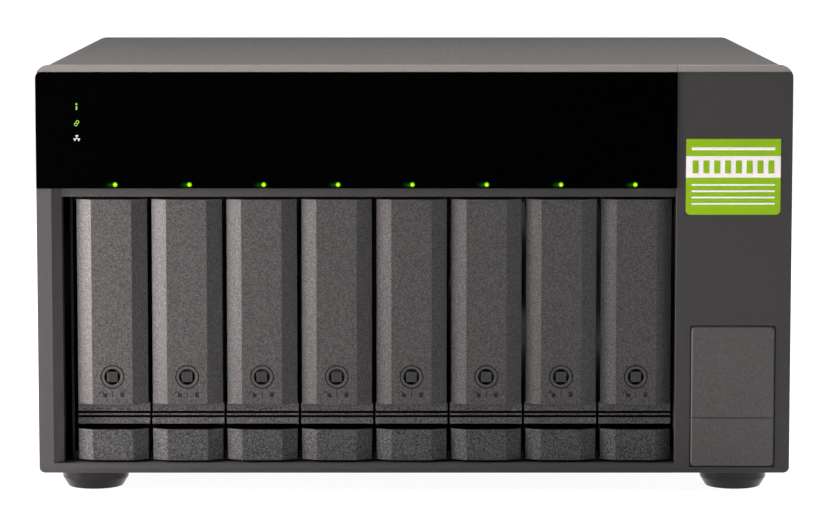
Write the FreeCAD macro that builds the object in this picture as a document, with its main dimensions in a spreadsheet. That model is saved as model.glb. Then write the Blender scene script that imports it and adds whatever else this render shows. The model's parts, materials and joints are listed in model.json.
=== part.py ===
import FreeCAD, Part
import math
import os
import Sketcher

# Eight-bay desktop disk shelf: a steel case with a moulded front, eight lockable drive trays,
# two rear fans and its own power supply.  Millimetres, +Z up, front towards -Y, +X to the right.
# The origin is on the standing surface, under the middle of the case.

DOC = FreeCAD.newDocument("DiskShelf")
SHEET = DOC.addObject("Spreadsheet::Sheet", "Sizes")
BAYS = 8

SIZES = [
    ("depth", "279.6", "front of the display panel to the heads of the rear screws"),
    ("foot_rise", "9.0", "standing surface to the underside of the front moulding"),
    ("rail_height", "4.4", "front rail under the trays"),
    ("sill_gap", "1.0", "gap under a tray front"),
    ("tray_height", "115.1", "height of a tray"),
    ("head_gap", "1.3", "gap over a tray front"),
    ("header_height", "3.8", "strip between the bays and the display panel"),
    ("panel_height", "50.7", "display panel"),
    ("top_bevel", "2.9", "rise of the sloping edge over the front"),
    ("bay_left", "16.85", "left side to the first tray"),
    ("bay_right", "1.7", "last tray to the side column"),
    ("tray_spacing", "32.8", "tray to tray"),
    ("tray_gap", "2.0", "between two tray fronts"),
    ("column_width", "50.35", "side column"),
    ("panel_proud", "0.5", "display panel stands out from the front moulding"),
    ("panel_thick", "3.0", "display panel"),
    ("panel_corner", "2.6", "display panel, upper outer corner"),
    ("bezel_depth", "5.0", "front moulding in front of the steel cover"),
    ("frame_depth", "6.3", "front moulding inside the steel cover"),
    ("bevel_depth", "3.0", "sloping top edge, front to back"),
    ("under_bevel", "2.1", "sloping lower edge, height"),
    ("under_depth", "1.2", "sloping lower edge, front to back"),
    ("bezel_corner", "5.5", "front moulding, upper corners"),
    ("bezel_foot_corner", "2.5", "front moulding, lower corners"),
    ("mouth_side", "6.45", "flat face beside the bay mouth"),
    ("mouth_bevel", "4.3", "sloping cheek of the bay mouth"),
    ("mouth_depth", "2.3", "tray fronts stand back from the front moulding"),
    ("window_edge", "4.0", "edge that carries the display panel"),
    ("window_side", "10.0", "edge that carries the display panel, at the left"),
    ("gauge", "1.0", "sheet steel"),
    ("cover_corner", "7.5", "bend radius of the cover"),
    ("cover_lip", "9.0", "rear lip of the cover"),
    ("pan_recess", "0.9", "base pan over the underside of the front moulding"),
    ("pan_flange", "14.0", "turned-up edge of the base pan"),
    ("pan_vent_width", "3.0", "slot in the base pan"),
    ("pan_vent_length", "60.0", "slot in the base pan"),
    ("pan_vent_spacing", "24.0", "slot to slot in the base pan"),
    ("foot_width", "29.4", "foot, across"),
    ("foot_inset", "22.65", "foot centre from the side"),
    ("foot_setback", "24.0", "foot centre from the front and from the back"),
    ("foot_taper", "2.6", "foot, draw-in at the floor"),
    ("foot_taper_rise", "4.2", "foot, height of the draw-in"),
    ("tray_setin", "0.3", "running clearance between moving and fixed pieces"),
    ("facet_width", "6.6", "sloping facet of a tray front"),
    ("facet_depth", "3.5", "sloping facet of a tray front, front to back"),
    ("plate_wall", "2.0", "wall of a tray front"),
    ("lower_plate", "13.7", "fixed lower plate of a tray"),
    ("finger_slot", "1.5", "slot between lower plate and release bar"),
    ("bar_height", "9.3", "release bar"),
    ("bar_gap", "0.3", "release bar to handle"),
    ("bar_overlap", "0.5", "release bar stands out beyond the tray front on each side"),
    ("bar_inset", "6.8", "lower edge of the release bar behind the tray front"),
    ("bar_depth", "11.5", "back of the release bar behind the tray front"),
    ("bar_setback", "2.2", "upper edge of the release bar behind its lower edge"),
    ("bar_travel", "2.0", "release bar pressed in"),
    ("bar_groove", "0.9", "groove in the release bar"),
    ("bar_groove_rise", "2.8", "lower groove above the foot of the release bar"),
    ("bar_groove_depth", "0.8", "groove in the release bar"),
    ("tray_wall", "1.5", "walls of a tray"),
    ("tray_head", "19.0", "depth of a tray's front box"),
    ("hinge_drop", "13.0", "hinge pin below the top of the handle"),
    ("hinge_inset", "5.0", "hinge pin behind the tray front"),
    ("hinge_pin", "2.5", "hinge pin, diameter"),
    ("pin_clearance", "0.05", "hinge pin in its eye, all round"),
    ("knuckle_radius", "2.6", "hinge knuckle"),
    ("knuckle_width", "9.4", "hinge knuckle"),
    ("ear_width", "2.5", "hinge ear of the handle"),
    ("lock_rise", "12.2", "lock centre above the foot of the handle"),
    ("lock_bore", "7.3", "bore for the lock core"),
    ("lock_boss", "11.0", "boss behind the lock"),
    ("lock_boss_depth", "5.0", "boss behind the lock"),
    ("lock_square", "4.7", "square core of the lock"),
    ("lock_sunk", "0.2", "lock core below the tray front"),
    ("cam_length", "9.0", "cam of the lock, from its core"),
    ("cam_tail", "5.0", "short arm of the cam, wider than the lock bore"),
    ("cam_width", "3.6", "cam of the lock"),
    ("cam_thick", "1.5", "cam of the lock"),
    ("strike_gap", "0.8", "strike bar behind the boss of the lock"),
    ("strike_thick", "1.2", "strike bar that the cam turns behind"),
    ("strike_rise", "1.2", "strike bar above the foot of the handle"),
    ("strike_height", "3.2", "strike bar that the cam turns behind"),
    ("drive_length", "147.0", "3.5-inch drive"),
    ("drive_width", "101.6", "3.5-inch drive"),
    ("drive_thick", "26.1", "3.5-inch drive"),
    ("drive_play", "0.3", "drive in its tray"),
    ("pad_length", "8.0", "pad under the edge of a drive"),
    ("pad_setback", "6.0", "pad from the end of a drive"),
    ("tray_window_side", "12.5", "margin round the windows of a tray's side wall"),
    ("tray_window_setback", "45.0", "front of the drive to the windows in the tray's side"),
    ("tray_vent_side", "3.0", "margin beside the vent at the back of a tray's front box"),
    ("tray_vent_low", "18.0", "vent at the back of a tray's front box, above its lower plate"),
    ("tray_vent_height", "56.0", "vent at the back of a tray's front box"),
    ("guide_floor", "2.2", "base of a tray guide"),
    ("guide_rib", "3.0", "rib of a tray guide"),
    ("guide_rib_width", "1.0", "rib of a tray guide"),
    ("guide_setback", "10.0", "upper guide behind the front frame"),
    ("cage_space", "1.1", "cage wall to tray guide edge"),
    ("cage_window", "22.0", "window in the side of the drive cage, front to back"),
    ("cage_window_spacing", "40.0", "window to window in the side of the drive cage"),
    ("cage_window_edge", "20.0", "margin round the windows of the drive cage"),
    ("board_thick", "1.6", "circuit boards"),
    ("plug_depth", "8.0", "drive connector, front to back"),
    ("plug_width", "5.6", "drive connector, across"),
    ("plug_height", "42.0", "drive connector"),
    ("plug_rise", "28.0", "drive connector above the bottom of the tray"),
    ("plug_slot_depth", "5.0", "slot in a drive connector"),
    ("plug_gap", "3.6", "drive to connector board side of the plug"),
    ("air_window", "13.0", "window in the backplane"),
    ("air_window_reach", "30.0", "window in the backplane beyond the plug"),
    ("air_window_bridge", "8.0", "board between two windows beside a plug"),
    ("led_spacing", "32.35", "drive lamp to drive lamp"),
    ("led_first", "34.15", "first drive lamp from the left side"),
    ("led_rise", "1.5", "drive lamps above the lower edge of the display panel"),
    ("led_width", "2.2", "drive lamp"),
    ("led_body", "1.4", "lamp package, front to back"),
    ("status_x", "17.0", "status lamps from the left side"),
    ("status_rise", "21.6", "lowest status lamp above the lower edge of the display panel"),
    ("status_spacing", "6.9", "status lamp to status lamp"),
    ("guide_bar", "2.0", "bar that joins the light guides, front to back"),
    ("blank_side", "7.0", "blank cover from the edges of the side column"),
    ("blank_rise", "3.2", "blank cover above the underside of the front moulding"),
    ("blank_height", "61.7", "blank cover"),
    ("blank_proud", "0.5", "blank cover stands out from the column"),
    ("blank_seat", "1.2", "blank cover let into the column"),
    ("blank_gap", "0.4", "joint round the blank cover"),
    ("blank_corner", "2.0", "blank cover, corners"),
    ("blank_groove", "21.2", "groove of the blank cover above its lower edge"),
    ("blank_groove_width", "0.6", "groove of the blank cover"),
    ("column_wall", "2.0", "wall of the side column"),
    ("fan_size", "120.0", "fan frame"),
    ("fan_depth", "25.0", "fan frame"),
    ("fan_rim", "2.0", "fan frame beside its duct, at the thinnest place"),
    ("fan_lug", "15.0", "corner post of a fan frame"),
    ("fan_flange", "4.0", "fan frame flange"),
    ("fan_wall", "1.8", "fan frame duct"),
    ("fan_left", "76.0", "left fan centre from the left side"),
    ("fan_spacing", "124.0", "fan to fan"),
    ("fan_rise", "1.2", "fan frame above the base pan"),
    ("hub_width", "40.0", "fan hub"),
    ("hub_depth", "17.0", "fan hub, front to back"),
    ("strut_width", "5.0", "strut of a fan frame"),
    ("strut_depth", "3.0", "strut of a fan frame"),
    ("shaft_width", "3.0", "fan shaft"),
    ("shaft_clearance", "0.05", "fan shaft in its bearing, all round"),
    ("blade_gap", "1.2", "fan blade tips to the duct"),
    ("blade_thick", "1.6", "fan blade"),
    ("blade_chord", "17.0", "fan blade at the hub"),
    ("blade_tip_chord", "30.0", "fan blade at the tip"),
    ("blade_pitch", "30.0", "fan blade angle, degrees"),
    ("grille_slot", "6.4", "slot of a fan grille"),
    ("grille_land", "4.0", "steel between two slots of a fan grille"),
    ("grille_spoke", "6.0", "upright spoke of a fan grille"),
    ("grille_rim", "1.5", "fan grille inside the duct of its fan"),
    ("supply_width", "40.5", "power supply, across"),
    ("supply_height", "81.5", "power supply"),
    ("supply_length", "150.0", "power supply"),
    ("supply_side", "5.0", "power supply from the cover"),
    ("supply_margin", "2.5", "edge of the rear panel over the power supply"),
    ("supply_fan", "36.0", "fan duct of the power supply"),
    ("supply_guard_edge", "6.0", "fan guard of the power supply inside its duct"),
    ("supply_fan_depth", "12.0", "fan duct of the power supply"),
    ("supply_fan_rise", "58.0", "fan of the power supply above its underside"),
    ("supply_hub", "15.0", "fan hub of the power supply"),
    ("supply_hub_depth", "7.0", "fan hub of the power supply, front to back"),
    ("supply_seat", "3.0", "fan bearing of the power supply"),
    ("supply_chord", "6.0", "fan blade of the power supply at the hub"),
    ("supply_tip_chord", "8.0", "fan blade of the power supply at the tip"),
    ("supply_slot", "3.0", "air slot of the power supply"),
    ("inlet_width", "27.0", "mains inlet"),
    ("inlet_height", "19.6", "mains inlet"),
    ("inlet_rise", "17.0", "mains inlet above the underside of the power supply"),
    ("inlet_depth", "18.0", "mains inlet"),
    ("inlet_wall", "1.8", "mains inlet"),
    ("inlet_flange", "1.6", "rim of the mains inlet"),
    ("standoff", "6.0", "control board above the cage, and above the fans"),
    ("standoff_width", "6.0", "post under the control board, across corners"),
    ("post_inset", "8.0", "edge of the control board to the middle of a post"),
    ("post_setback", "6.0", "back edge of the cage shelf to the middle of a post"),
    ("shelf_gap", "2.0", "cage shelf to the fans"),
    ("board_width", "150.0", "control board"),
    ("board_length", "105.0", "control board"),
    ("board_shift", "26.0", "control board, centre from the middle of the case"),
    ("sink_size", "30.0", "heat sink"),
    ("sink_height", "12.0", "heat sink"),
    ("sink_fin", "1.4", "fin of the heat sink"),
    ("sink_spacing", "5.72", "fin to fin"),
    ("sink_base", "3.0", "base of the heat sink"),
    ("sink_shift", "20.0", "heat sink from the middle of the control board"),
    ("port_width", "9.0", "serial port shell"),
    ("port_height", "3.3", "serial port shell"),
    ("port_length", "8.0", "serial port shell"),
    ("port_offset", "30.0", "serial port from the middle of the control board"),
    ("button_width", "12.0", "power button"),
    ("button_proud", "1.6", "power button stands out from the rear panel"),
    ("button_travel", "1.2", "power button pressed in"),
    ("button_x", "120.0", "power button from the left side, seen from the front"),
    ("control_drop", "24.0", "power button and dial below the top"),
    ("dial_x", "85.0", "fan speed dial from the left side, seen from the front"),
    ("dial_width", "14.0", "fan speed dial"),
    ("dial_shaft", "6.0", "shaft of the fan speed dial"),
    ("housing_size", "18.0", "housing behind the button and the dial"),
    ("housing_depth", "12.0", "housing behind the button and the dial"),
    ("screw_inset", "32.0", "upper cover screws from the sides"),
    ("screw_head", "2.0", "screw heads"),
    ("screw_head_width", "6.4", "screw heads"),
    ("screw_play", "0.2", "screw in its hole, all round"),
    ("lock_slot_x", "40.0", "security lock slot from the left side, seen from the front"),
    ("lock_slot_width", "7.0", "security lock slot"),
    ("lock_slot_height", "3.0", "security lock slot"),
]


class Size:
    """A length with its value and the spreadsheet expression that gives it."""

    def __init__(self, value, text):
        self.value = float(value)
        self.text = text

    def _join(self, other, sign, value, swap=False):
        pair = (other.text, self.text) if swap else (self.text, other.text)
        return Size(value, "(%s %s %s)" % (pair[0], sign, pair[1]))

    def __add__(self, other):
        other = length(other)
        return self._join(other, "+", self.value + other.value)

    def __radd__(self, other):
        return length(other) + self

    def __sub__(self, other):
        other = length(other)
        return self._join(other, "-", self.value - other.value)

    def __rsub__(self, other):
        return length(other) - self

    def __mul__(self, other):
        other = length(other)
        return self._join(other, "*", self.value * other.value)

    def __rmul__(self, other):
        return self * other

    def __truediv__(self, other):
        other = length(other)
        return self._join(other, "/", self.value / other.value)

    def __neg__(self):
        return Size(-self.value, "(0 - %s)" % self.text)


def length(value):
    """A plain number or a Size, as a Size."""
    return value if isinstance(value, Size) else Size(value, "%.9g" % value)


def root(value):
    """Square root of a Size, as a Size."""
    return Size(math.sqrt(value.value), "sqrt(%s)" % value.text)


def higher(one, other):
    """The larger of two places, as a Size."""
    return Size(max(one.value, other.value), "max(%s; %s)" % (one.text, other.text))


class SizeTable:
    """The named sizes of the sheet: size.gauge reads the cell called gauge."""

    def __init__(self, rows):
        for row, (alias, value, note) in enumerate(rows, start=1):
            SHEET.set("A%d" % row, note)
            SHEET.set("B%d" % row, value)
            SHEET.setAlias("B%d" % row, alias)
        DOC.recompute()

    def __getattr__(self, alias):
        return Size(SHEET.get(alias), "Sizes." + alias)


size = SizeTable(SIZES)
PARTS = []


# ---------------------------------------------------------------- drawing helpers

AXES = {
    # plane: role of the origin plane, offset sign, does a pad along + need reversing
    "XY": ("XY_Plane", 1, False),
    "XZ": ("XZ_Plane", -1, True),
    "YZ": ("YZ_Plane", 1, False),
}


def part(obj, label):
    """Names a finished sub-part and puts it on the list of pieces to write."""
    obj.Label = label
    PARTS.append(obj)
    return obj


def bind(obj, prop, value):
    obj.setExpression(prop, length(value).text)


def new_body(name):
    return DOC.addObject("PartDesign::Body", name)


def pin_point(sketch, edge, vertex, point):
    """Holds one vertex of an edge at a measured place."""
    for kind, axis, value in (("DistanceX", -2, point[0]), ("DistanceY", -1, point[1])):
        value = length(value)
        if value.text == "0":
            sketch.addConstraint(Sketcher.Constraint("PointOnObject", edge, vertex, axis))
            continue
        index = sketch.addConstraint(
            Sketcher.Constraint(kind, -1, 1, edge, vertex, value.value))
        sketch.setExpression("Constraints[%d]" % index, value.text)


def axis_step(start, end):
    """Direction of an edge that follows an axis, as whole numbers."""
    du = length(end[0]).value - length(start[0]).value
    dv = length(end[1]).value - length(start[1]).value
    return (math.copysign(1, du), 0) if abs(du) > abs(dv) else (0, math.copysign(1, dv))


def rounded_nodes(points):
    """Corner points of an outline; a rounded corner gives the two ends of its arc."""
    nodes = []
    for i, corner in enumerate(points):
        if len(corner) == 2 or length(corner[2]).value == 0:
            nodes.append((corner[:2], None))
            continue
        u, v, radius = corner
        came = axis_step(points[i - 1], corner)
        goes = axis_step(corner, points[(i + 1) % len(points)])
        left_turn = came[0] * goes[1] - came[1] * goes[0] > 0
        centre = (u - radius * came[0] + radius * goes[0], v - radius * came[1] + radius * goes[1])
        nodes.append(((u - radius * came[0], v - radius * came[1]), (centre, radius, left_turn)))
        nodes.append(((u + radius * goes[0], v + radius * goes[1]), None))
    return nodes


def draw_outline(sketch, points):
    """A closed outline held at each corner; (u, v, r) rounds a corner between two level edges."""
    first = sketch.GeometryCount
    nodes = rounded_nodes(points)
    count = len(nodes)
    places = [FreeCAD.Vector(length(u).value, length(v).value, 0) for (u, v), _ in nodes]
    heads = []
    tails = []
    for i, (_, arc) in enumerate(nodes):
        start, end = places[i], places[(i + 1) % count]
        if arc is None:
            sketch.addGeometry(Part.LineSegment(start, end), False)
            heads.append(1)
            tails.append(2)
            continue
        (u, v), radius, left_turn = arc
        centre = FreeCAD.Vector(length(u).value, length(v).value, 0)
        a, b = (start, end) if left_turn else (end, start)
        angles = [math.atan2(place.y - centre.y, place.x - centre.x) for place in (a, b)]
        circle = Part.Circle(centre, FreeCAD.Vector(0, 0, 1), length(radius).value)
        sketch.addGeometry(Part.ArcOfCircle(circle, *angles), False)
        heads.append(1 if left_turn else 2)
        tails.append(2 if left_turn else 1)
    for i, (point, arc) in enumerate(nodes):
        after = (i + 1) % count
        sketch.addConstraint(
            Sketcher.Constraint("Coincident", first + i, tails[i], first + after, heads[after]))
        pin_point(sketch, first + i, heads[i], point)
        if arc is not None:
            radius = length(arc[1])
            index = sketch.addConstraint(
                Sketcher.Constraint("Radius", first + i, radius.value))
            sketch.setExpression("Constraints[%d]" % index, radius.text)


def draw_circle(sketch, centre, radius):
    edge = sketch.GeometryCount
    place = FreeCAD.Vector(length(centre[0]).value, length(centre[1]).value, 0)
    sketch.addGeometry(Part.Circle(place, FreeCAD.Vector(0, 0, 1), radius.value), False)
    index = sketch.addConstraint(Sketcher.Constraint("Radius", edge, radius.value))
    sketch.setExpression("Constraints[%d]" % index, radius.text)
    pin_point(sketch, edge, 3, centre)


def new_sketch(body, plane, start):
    """An empty sketch on one of the body's own planes, moved to a place along its normal."""
    role, sign, _ = AXES[plane]
    sketch = body.newObject("Sketcher::SketchObject", body.Name + "_sketch")
    origin_plane = next(o for o in body.Origin.OriginFeatures if o.Role == role)
    sketch.AttachmentSupport = [(origin_plane, "")]
    sketch.MapMode = "FlatFace"
    bind(sketch, "AttachmentOffset.Base.z", start if sign > 0 else -length(start))
    return sketch


def profile(body, plane, start, polygons=(), circles=()):
    sketch = new_sketch(body, plane, start)
    for points in polygons:
        draw_outline(sketch, points)
    for centre, radius in circles:
        draw_circle(sketch, centre, length(radius))
    return sketch


def pad(body, plane, start, end, polygons=(), circles=()):
    """Adds material from one place to another along the plane's axis."""
    sketch = profile(body, plane, start, polygons, circles)
    feature = body.newObject("PartDesign::Pad", body.Name + "_pad")
    feature.Profile = sketch
    bind(feature, "Length", length(end) - start)
    feature.Reversed = AXES[plane][2]
    return feature


def pocket(body, plane, start, end, polygons=(), circles=()):
    """Cuts from one place to another along the plane's axis, and must remove something."""
    DOC.recompute()
    before = body.Shape.Volume
    sketch = profile(body, plane, start, polygons, circles)
    feature = body.newObject("PartDesign::Pocket", body.Name + "_cut")
    feature.Profile = sketch
    bind(feature, "Length", length(end) - start)
    feature.Reversed = not AXES[plane][2]
    DOC.recompute()
    if body.Shape.Volume > before - 1e-6:
        raise RuntimeError("a cut in %s removed nothing" % body.Name)
    return feature


def rectangle(u_low, u_high, v_low, v_high, rounds=(0, 0, 0, 0)):
    """Four corners, anticlockwise from the low one, each with its own rounding."""
    corners = [(u_low, v_low), (u_high, v_low), (u_high, v_high), (u_low, v_high)]
    return [(u, v, length(r)) for (u, v), r in zip(corners, rounds)]


def soften(body, kind, amount, pick):
    """Fillets or chamfers the edges of the body that pick() chooses."""
    DOC.recompute()
    tip = body.Tip
    names = ["Edge%d" % i for i, edge in enumerate(tip.Shape.Edges, start=1) if pick(edge)]
    if not names:
        raise RuntimeError("no edge to soften on %s" % body.Name)
    feature = body.newObject("PartDesign::" + kind, body.Name + "_" + kind.lower())
    feature.Base = (tip, names)
    bind(feature, "Radius" if kind == "Fillet" else "Size", amount)
    return feature


def repeat(body, feature, direction, pitch, count):
    """A row of copies of one feature along an axis of the body."""
    pattern = body.newObject("PartDesign::LinearPattern", body.Name + "_row")
    axis = next(o for o in body.Origin.OriginFeatures if o.Role == direction + "_Axis")
    pattern.Originals = [feature]
    pattern.Direction = (axis, [""])
    pattern.Occurrences = count
    bind(pattern, "Length", length(pitch) * (count - 1))
    body.Tip = pattern
    return pattern


def around(body, features, count):
    """Copies of features turned about the body's Y axis."""
    pattern = body.newObject("PartDesign::PolarPattern", body.Name + "_ring")
    axis = next(o for o in body.Origin.OriginFeatures if o.Role == "Y_Axis")
    pattern.Originals = features
    pattern.Axis = (axis, [""])
    pattern.Angle = 360
    pattern.Occurrences = count
    body.Tip = pattern
    return pattern


def put(obj, x=0, y=0, z=0):
    """Places an object, bound to the sheet."""
    for axis, value in zip("xyz", (x, y, z)):
        bind(obj, "Placement.Base." + axis, value)
    return obj


def copy_of(source, x=0, y=0, z=0):
    """The same piece again, moved by x, y and z."""
    again = DOC.addObject("Part::Compound", source.Name + "_copy")
    again.Links = [source]
    return put(again, x, y, z)


def group(members, label):
    """Separate solids that share one node."""
    bundle = DOC.addObject("Part::Compound", label)
    bundle.Links = members
    return part(bundle, label)


# ---------------------------------------------------------------- main planes of the case

tray_width = size.tray_spacing - size.tray_gap
width = (size.bay_left + size.tray_spacing * BAYS - size.tray_gap + size.bay_right
         + size.column_width)
left = -width / 2
right = width / 2
front = -size.depth / 2
back = size.depth / 2

mouth_bottom = size.foot_rise + size.rail_height
tray_bottom = mouth_bottom + size.sill_gap
tray_top = tray_bottom + size.tray_height
mouth_top = tray_top + size.head_gap
panel_bottom = mouth_top + size.header_height
panel_top = panel_bottom + size.panel_height
top = panel_top + size.top_bevel

bezel_face = front + size.panel_proud
panel_back = front + size.panel_thick
tray_face = bezel_face + size.mouth_depth
shell_front = bezel_face + size.bezel_depth
frame_back = shell_front + size.frame_depth
lip_face = back - size.screw_head
rear_face = lip_face - size.gauge
rear_inside = rear_face - size.gauge

pan_bottom = size.foot_rise + size.pan_recess
pan_top = pan_bottom + size.gauge
inner_left = left + size.gauge
inner_right = right - size.gauge
inner_top = top - size.gauge
seam = right - size.column_width
mouth_left = left + size.mouth_side + size.mouth_bevel
cage_floor = pan_top + size.gauge
guide_top = cage_floor + size.guide_floor
guide_ceiling = tray_top + size.tray_setin
cage_ceiling = guide_ceiling + size.guide_floor - 0.2
cage_top = cage_ceiling + size.gauge
tray_one = left + size.bay_left + tray_width / 2
guide_left = left + size.bay_left - size.bar_overlap - size.tray_gap * 0.8
cage_left = guide_left - size.cage_space
cage_right = seam + size.gauge

drive_front = tray_face + size.tray_head + size.tray_wall + 2.9
drive_back = drive_front + size.drive_length
backplane_front = drive_back + size.plug_gap + size.plug_depth


def bay_centre(number):
    """Middle of a bay, counted from 0 at the left."""
    return tray_one + size.tray_spacing * number


# ---------------------------------------------------------------- steel case

COVER_SCREWS = (
    [(place, top - size.cover_lip / 2)
     for place in (left + size.screw_inset, length(0), right - size.screw_inset)]
    + [(side, (pan_top + top) / 2)
       for side in (left + size.cover_lip / 2, right - size.cover_lip / 2)])


def duct_radius():
    return size.fan_size / 2 - size.fan_rim


def fan_top():
    return pan_top + size.fan_rise + size.fan_size


def fan_centres():
    z = pan_top + size.fan_rise + size.fan_size / 2
    return [(left + size.fan_left + size.fan_spacing * i, z) for i in range(2)]


def inner_bends():
    """Roundings of what fits inside the cover: only the two upper corners."""
    bend = size.cover_corner - size.gauge
    return (0, 0, bend, bend)


def outer_cover():
    """Top and sides bent from one sheet, with a lip round the back."""
    body = new_body("outer_cover")
    pad(body, "XZ", shell_front, lip_face,
        [rectangle(left, right, pan_bottom, top, (0, 0, size.cover_corner, size.cover_corner))])
    pocket(body, "XZ", shell_front, lip_face - size.gauge,
           [rectangle(inner_left, inner_right, pan_bottom - 1, inner_top, inner_bends())])
    pocket(body, "XZ", lip_face - size.gauge - 1, lip_face + 1,
           [rectangle(left + size.cover_lip, right - size.cover_lip,
                      pan_bottom - 1, top - size.cover_lip)])
    part(body, "outer_cover")


def base_pan():
    """Folded floor of the case, slotted under the drives."""
    body = new_body("base_pan")
    pad(body, "XZ", shell_front, rear_inside,
        [rectangle(inner_left, inner_right, pan_bottom, pan_top)])
    flange_top = pan_top + size.pan_flange
    pad(body, "XZ", frame_back, rear_inside,
        [rectangle(inner_left, inner_left + size.gauge, pan_bottom, flange_top),
         rectangle(inner_right - size.gauge, inner_right, pan_bottom, flange_top)])
    slot_left = inner_left + size.foot_inset + size.foot_width / 2
    slot = pocket(body, "XY", pan_bottom - 1, pan_top + 1,
                  [rectangle(slot_left, slot_left + size.pan_vent_width,
                             -size.pan_vent_length / 2, size.pan_vent_length / 2)])
    repeat(body, slot, "X", size.pan_vent_spacing, 9)
    part(body, "base_pan")


def feet():
    """Four turned feet with a drawn-in lower edge."""
    foot = new_body("foot")
    sketch = new_sketch(foot, "XZ", length(0))
    radius = size.foot_width / 2
    draw_outline(sketch, [
        (0, 0), (radius - size.foot_taper, 0), (radius, size.foot_taper_rise),
        (radius, pan_bottom), (0, pan_bottom)])
    turn = foot.newObject("PartDesign::Revolution", "foot_turned")
    turn.Profile = sketch
    turn.ReferenceAxis = (sketch, ["V_Axis"])
    turn.Angle = 360
    across = width / 2 - size.foot_inset
    along = size.depth / 2 - size.foot_setback
    group([copy_of(foot, across * i, along * k) for i in (-1, 1) for k in (-1, 1)], "feet")


def grille_slots(centre):
    """Level slots in a circle, each split by an upright spoke, as outlines."""
    x, z = centre
    reach = duct_radius() - size.grille_rim
    pitch = size.grille_slot + size.grille_land
    spoke = size.grille_spoke / 2
    rows = int((reach.value - size.grille_slot.value) / pitch.value)
    slots = []
    for row in range(-rows, rows + 1):
        low = pitch * row - size.grille_slot / 2
        high = pitch * row + size.grille_slot / 2
        far = high if row > 0 else low
        half = root(reach * reach - far * far)
        slots.append(rectangle(x + spoke, x + half, z + low, z + high))
        slots.append(rectangle(x - half, x - spoke, z + low, z + high))
    return slots


def rear_panel():
    """Back of the case: two punched fan grilles, supply opening, ports and controls."""
    body = new_body("rear_panel")
    pad(body, "XZ", rear_inside, rear_face,
        [rectangle(inner_left, inner_right, pan_top, inner_top, inner_bends())])
    supply_low = pan_top + size.supply_margin
    lock_slot = left + size.lock_slot_x
    pocket(body, "XZ", rear_inside - 1, rear_face + 1,
           [rectangle(supply_left() + size.supply_margin,
                      supply_left() + size.supply_width - size.supply_margin,
                      supply_low, pan_top + size.supply_height - size.supply_margin),
            rectangle(port_x() - size.port_width / 2 - size.screw_play,
                      port_x() + size.port_width / 2 + size.screw_play,
                      board_top() - size.screw_play,
                      board_top() + size.port_height + size.screw_play),
            rectangle(lock_slot, lock_slot + size.lock_slot_width,
                      control_z(), control_z() + size.lock_slot_height)],
           [((button_centre(), control_z()), size.button_width / 2 + size.tray_setin),
            ((dial_centre(), control_z()), size.dial_shaft / 2 + size.tray_setin)])
    for centre in fan_centres():
        pocket(body, "XZ", rear_inside - 1, rear_face + 1, grille_slots(centre))
    part(body, "rear_panel")


# ---------------------------------------------------------------- moulded front

def front_bezel():
    """Moulded front frame: left cheek, lower rail, header strip and the frame inside."""
    body = new_body("front_bezel")
    pad(body, "XZ", bezel_face, shell_front,
        [rectangle(left, seam, size.foot_rise, top,
                   (size.bezel_foot_corner, 0, 0, size.bezel_corner))])
    pad(body, "XZ", shell_front, frame_back,
        [rectangle(inner_left, inner_right, pan_top, inner_top, inner_bends())])
    bevel_edges(body, left - 1, seam)
    pocket(body, "XZ", bezel_face - 1, frame_back + 1,
           [rectangle(mouth_left, seam, mouth_bottom, mouth_top),
            rectangle(left + size.window_side, seam - size.window_edge,
                      panel_bottom + 0.4, panel_top - size.window_edge)])
    pocket(body, "XZ", shell_front - 1, frame_back + 1,
           [rectangle(seam + size.window_edge, right - size.window_edge * 2,
                      mouth_bottom + size.window_edge, panel_top - size.window_edge)])
    pocket(body, "XZ", bezel_face - 1, panel_back,
           [rectangle(left - 1, seam + 1, panel_bottom, panel_top)])
    pocket(body, "XZ", bezel_face - 1, tray_face,
           [rectangle(mouth_left, seam + 1, mouth_top - 1, panel_bottom + 1)])
    pocket(body, "XY", mouth_bottom, panel_bottom,
           [[(mouth_left - size.mouth_bevel, bezel_face), (mouth_left, tray_face),
             (mouth_left + 1, tray_face), (mouth_left + 1, bezel_face - 1),
             (mouth_left - size.mouth_bevel, bezel_face - 1)]])
    part(body, "front_bezel")


def bevel_edges(body, x_low, x_high):
    """Sloping upper and lower edges of the moulded front."""
    pocket(body, "YZ", x_low, x_high, [
        [(bezel_face - 1, panel_top), (bezel_face, panel_top),
         (bezel_face + size.bevel_depth, top), (bezel_face + size.bevel_depth, top + 1),
         (bezel_face - 1, top + 1)],
        [(bezel_face - 1, size.foot_rise + size.under_bevel),
         (bezel_face, size.foot_rise + size.under_bevel),
         (bezel_face + size.under_depth, size.foot_rise),
         (bezel_face + size.under_depth, size.foot_rise - 1),
         (bezel_face - 1, size.foot_rise - 1)]])


def side_column():
    """Moulded column beside the bays, a shell with a seat for the blank cover."""
    body = new_body("side_column")
    pad(body, "XZ", bezel_face, shell_front,
        [rectangle(seam, right, size.foot_rise, top,
                   (0, size.bezel_foot_corner, size.bezel_corner, 0))])
    bevel_edges(body, seam, right + 1)
    pocket(body, "XZ", bezel_face + size.column_wall, shell_front + 1,
           [rectangle(seam + size.column_wall, right - size.column_wall - size.window_edge,
                      size.foot_rise + size.column_wall + size.under_bevel,
                      top - size.column_wall - size.window_edge)])
    low, high = blank_span()
    pocket(body, "XZ", bezel_face - 1, bezel_face + size.blank_seat,
           [rectangle(seam + size.blank_side - size.blank_gap,
                      right - size.blank_side + size.blank_gap,
                      low - size.blank_gap, high + size.blank_gap)])
    part(body, "side_column")


def blank_span():
    low = size.foot_rise + size.blank_rise
    return low, low + size.blank_height


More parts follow.
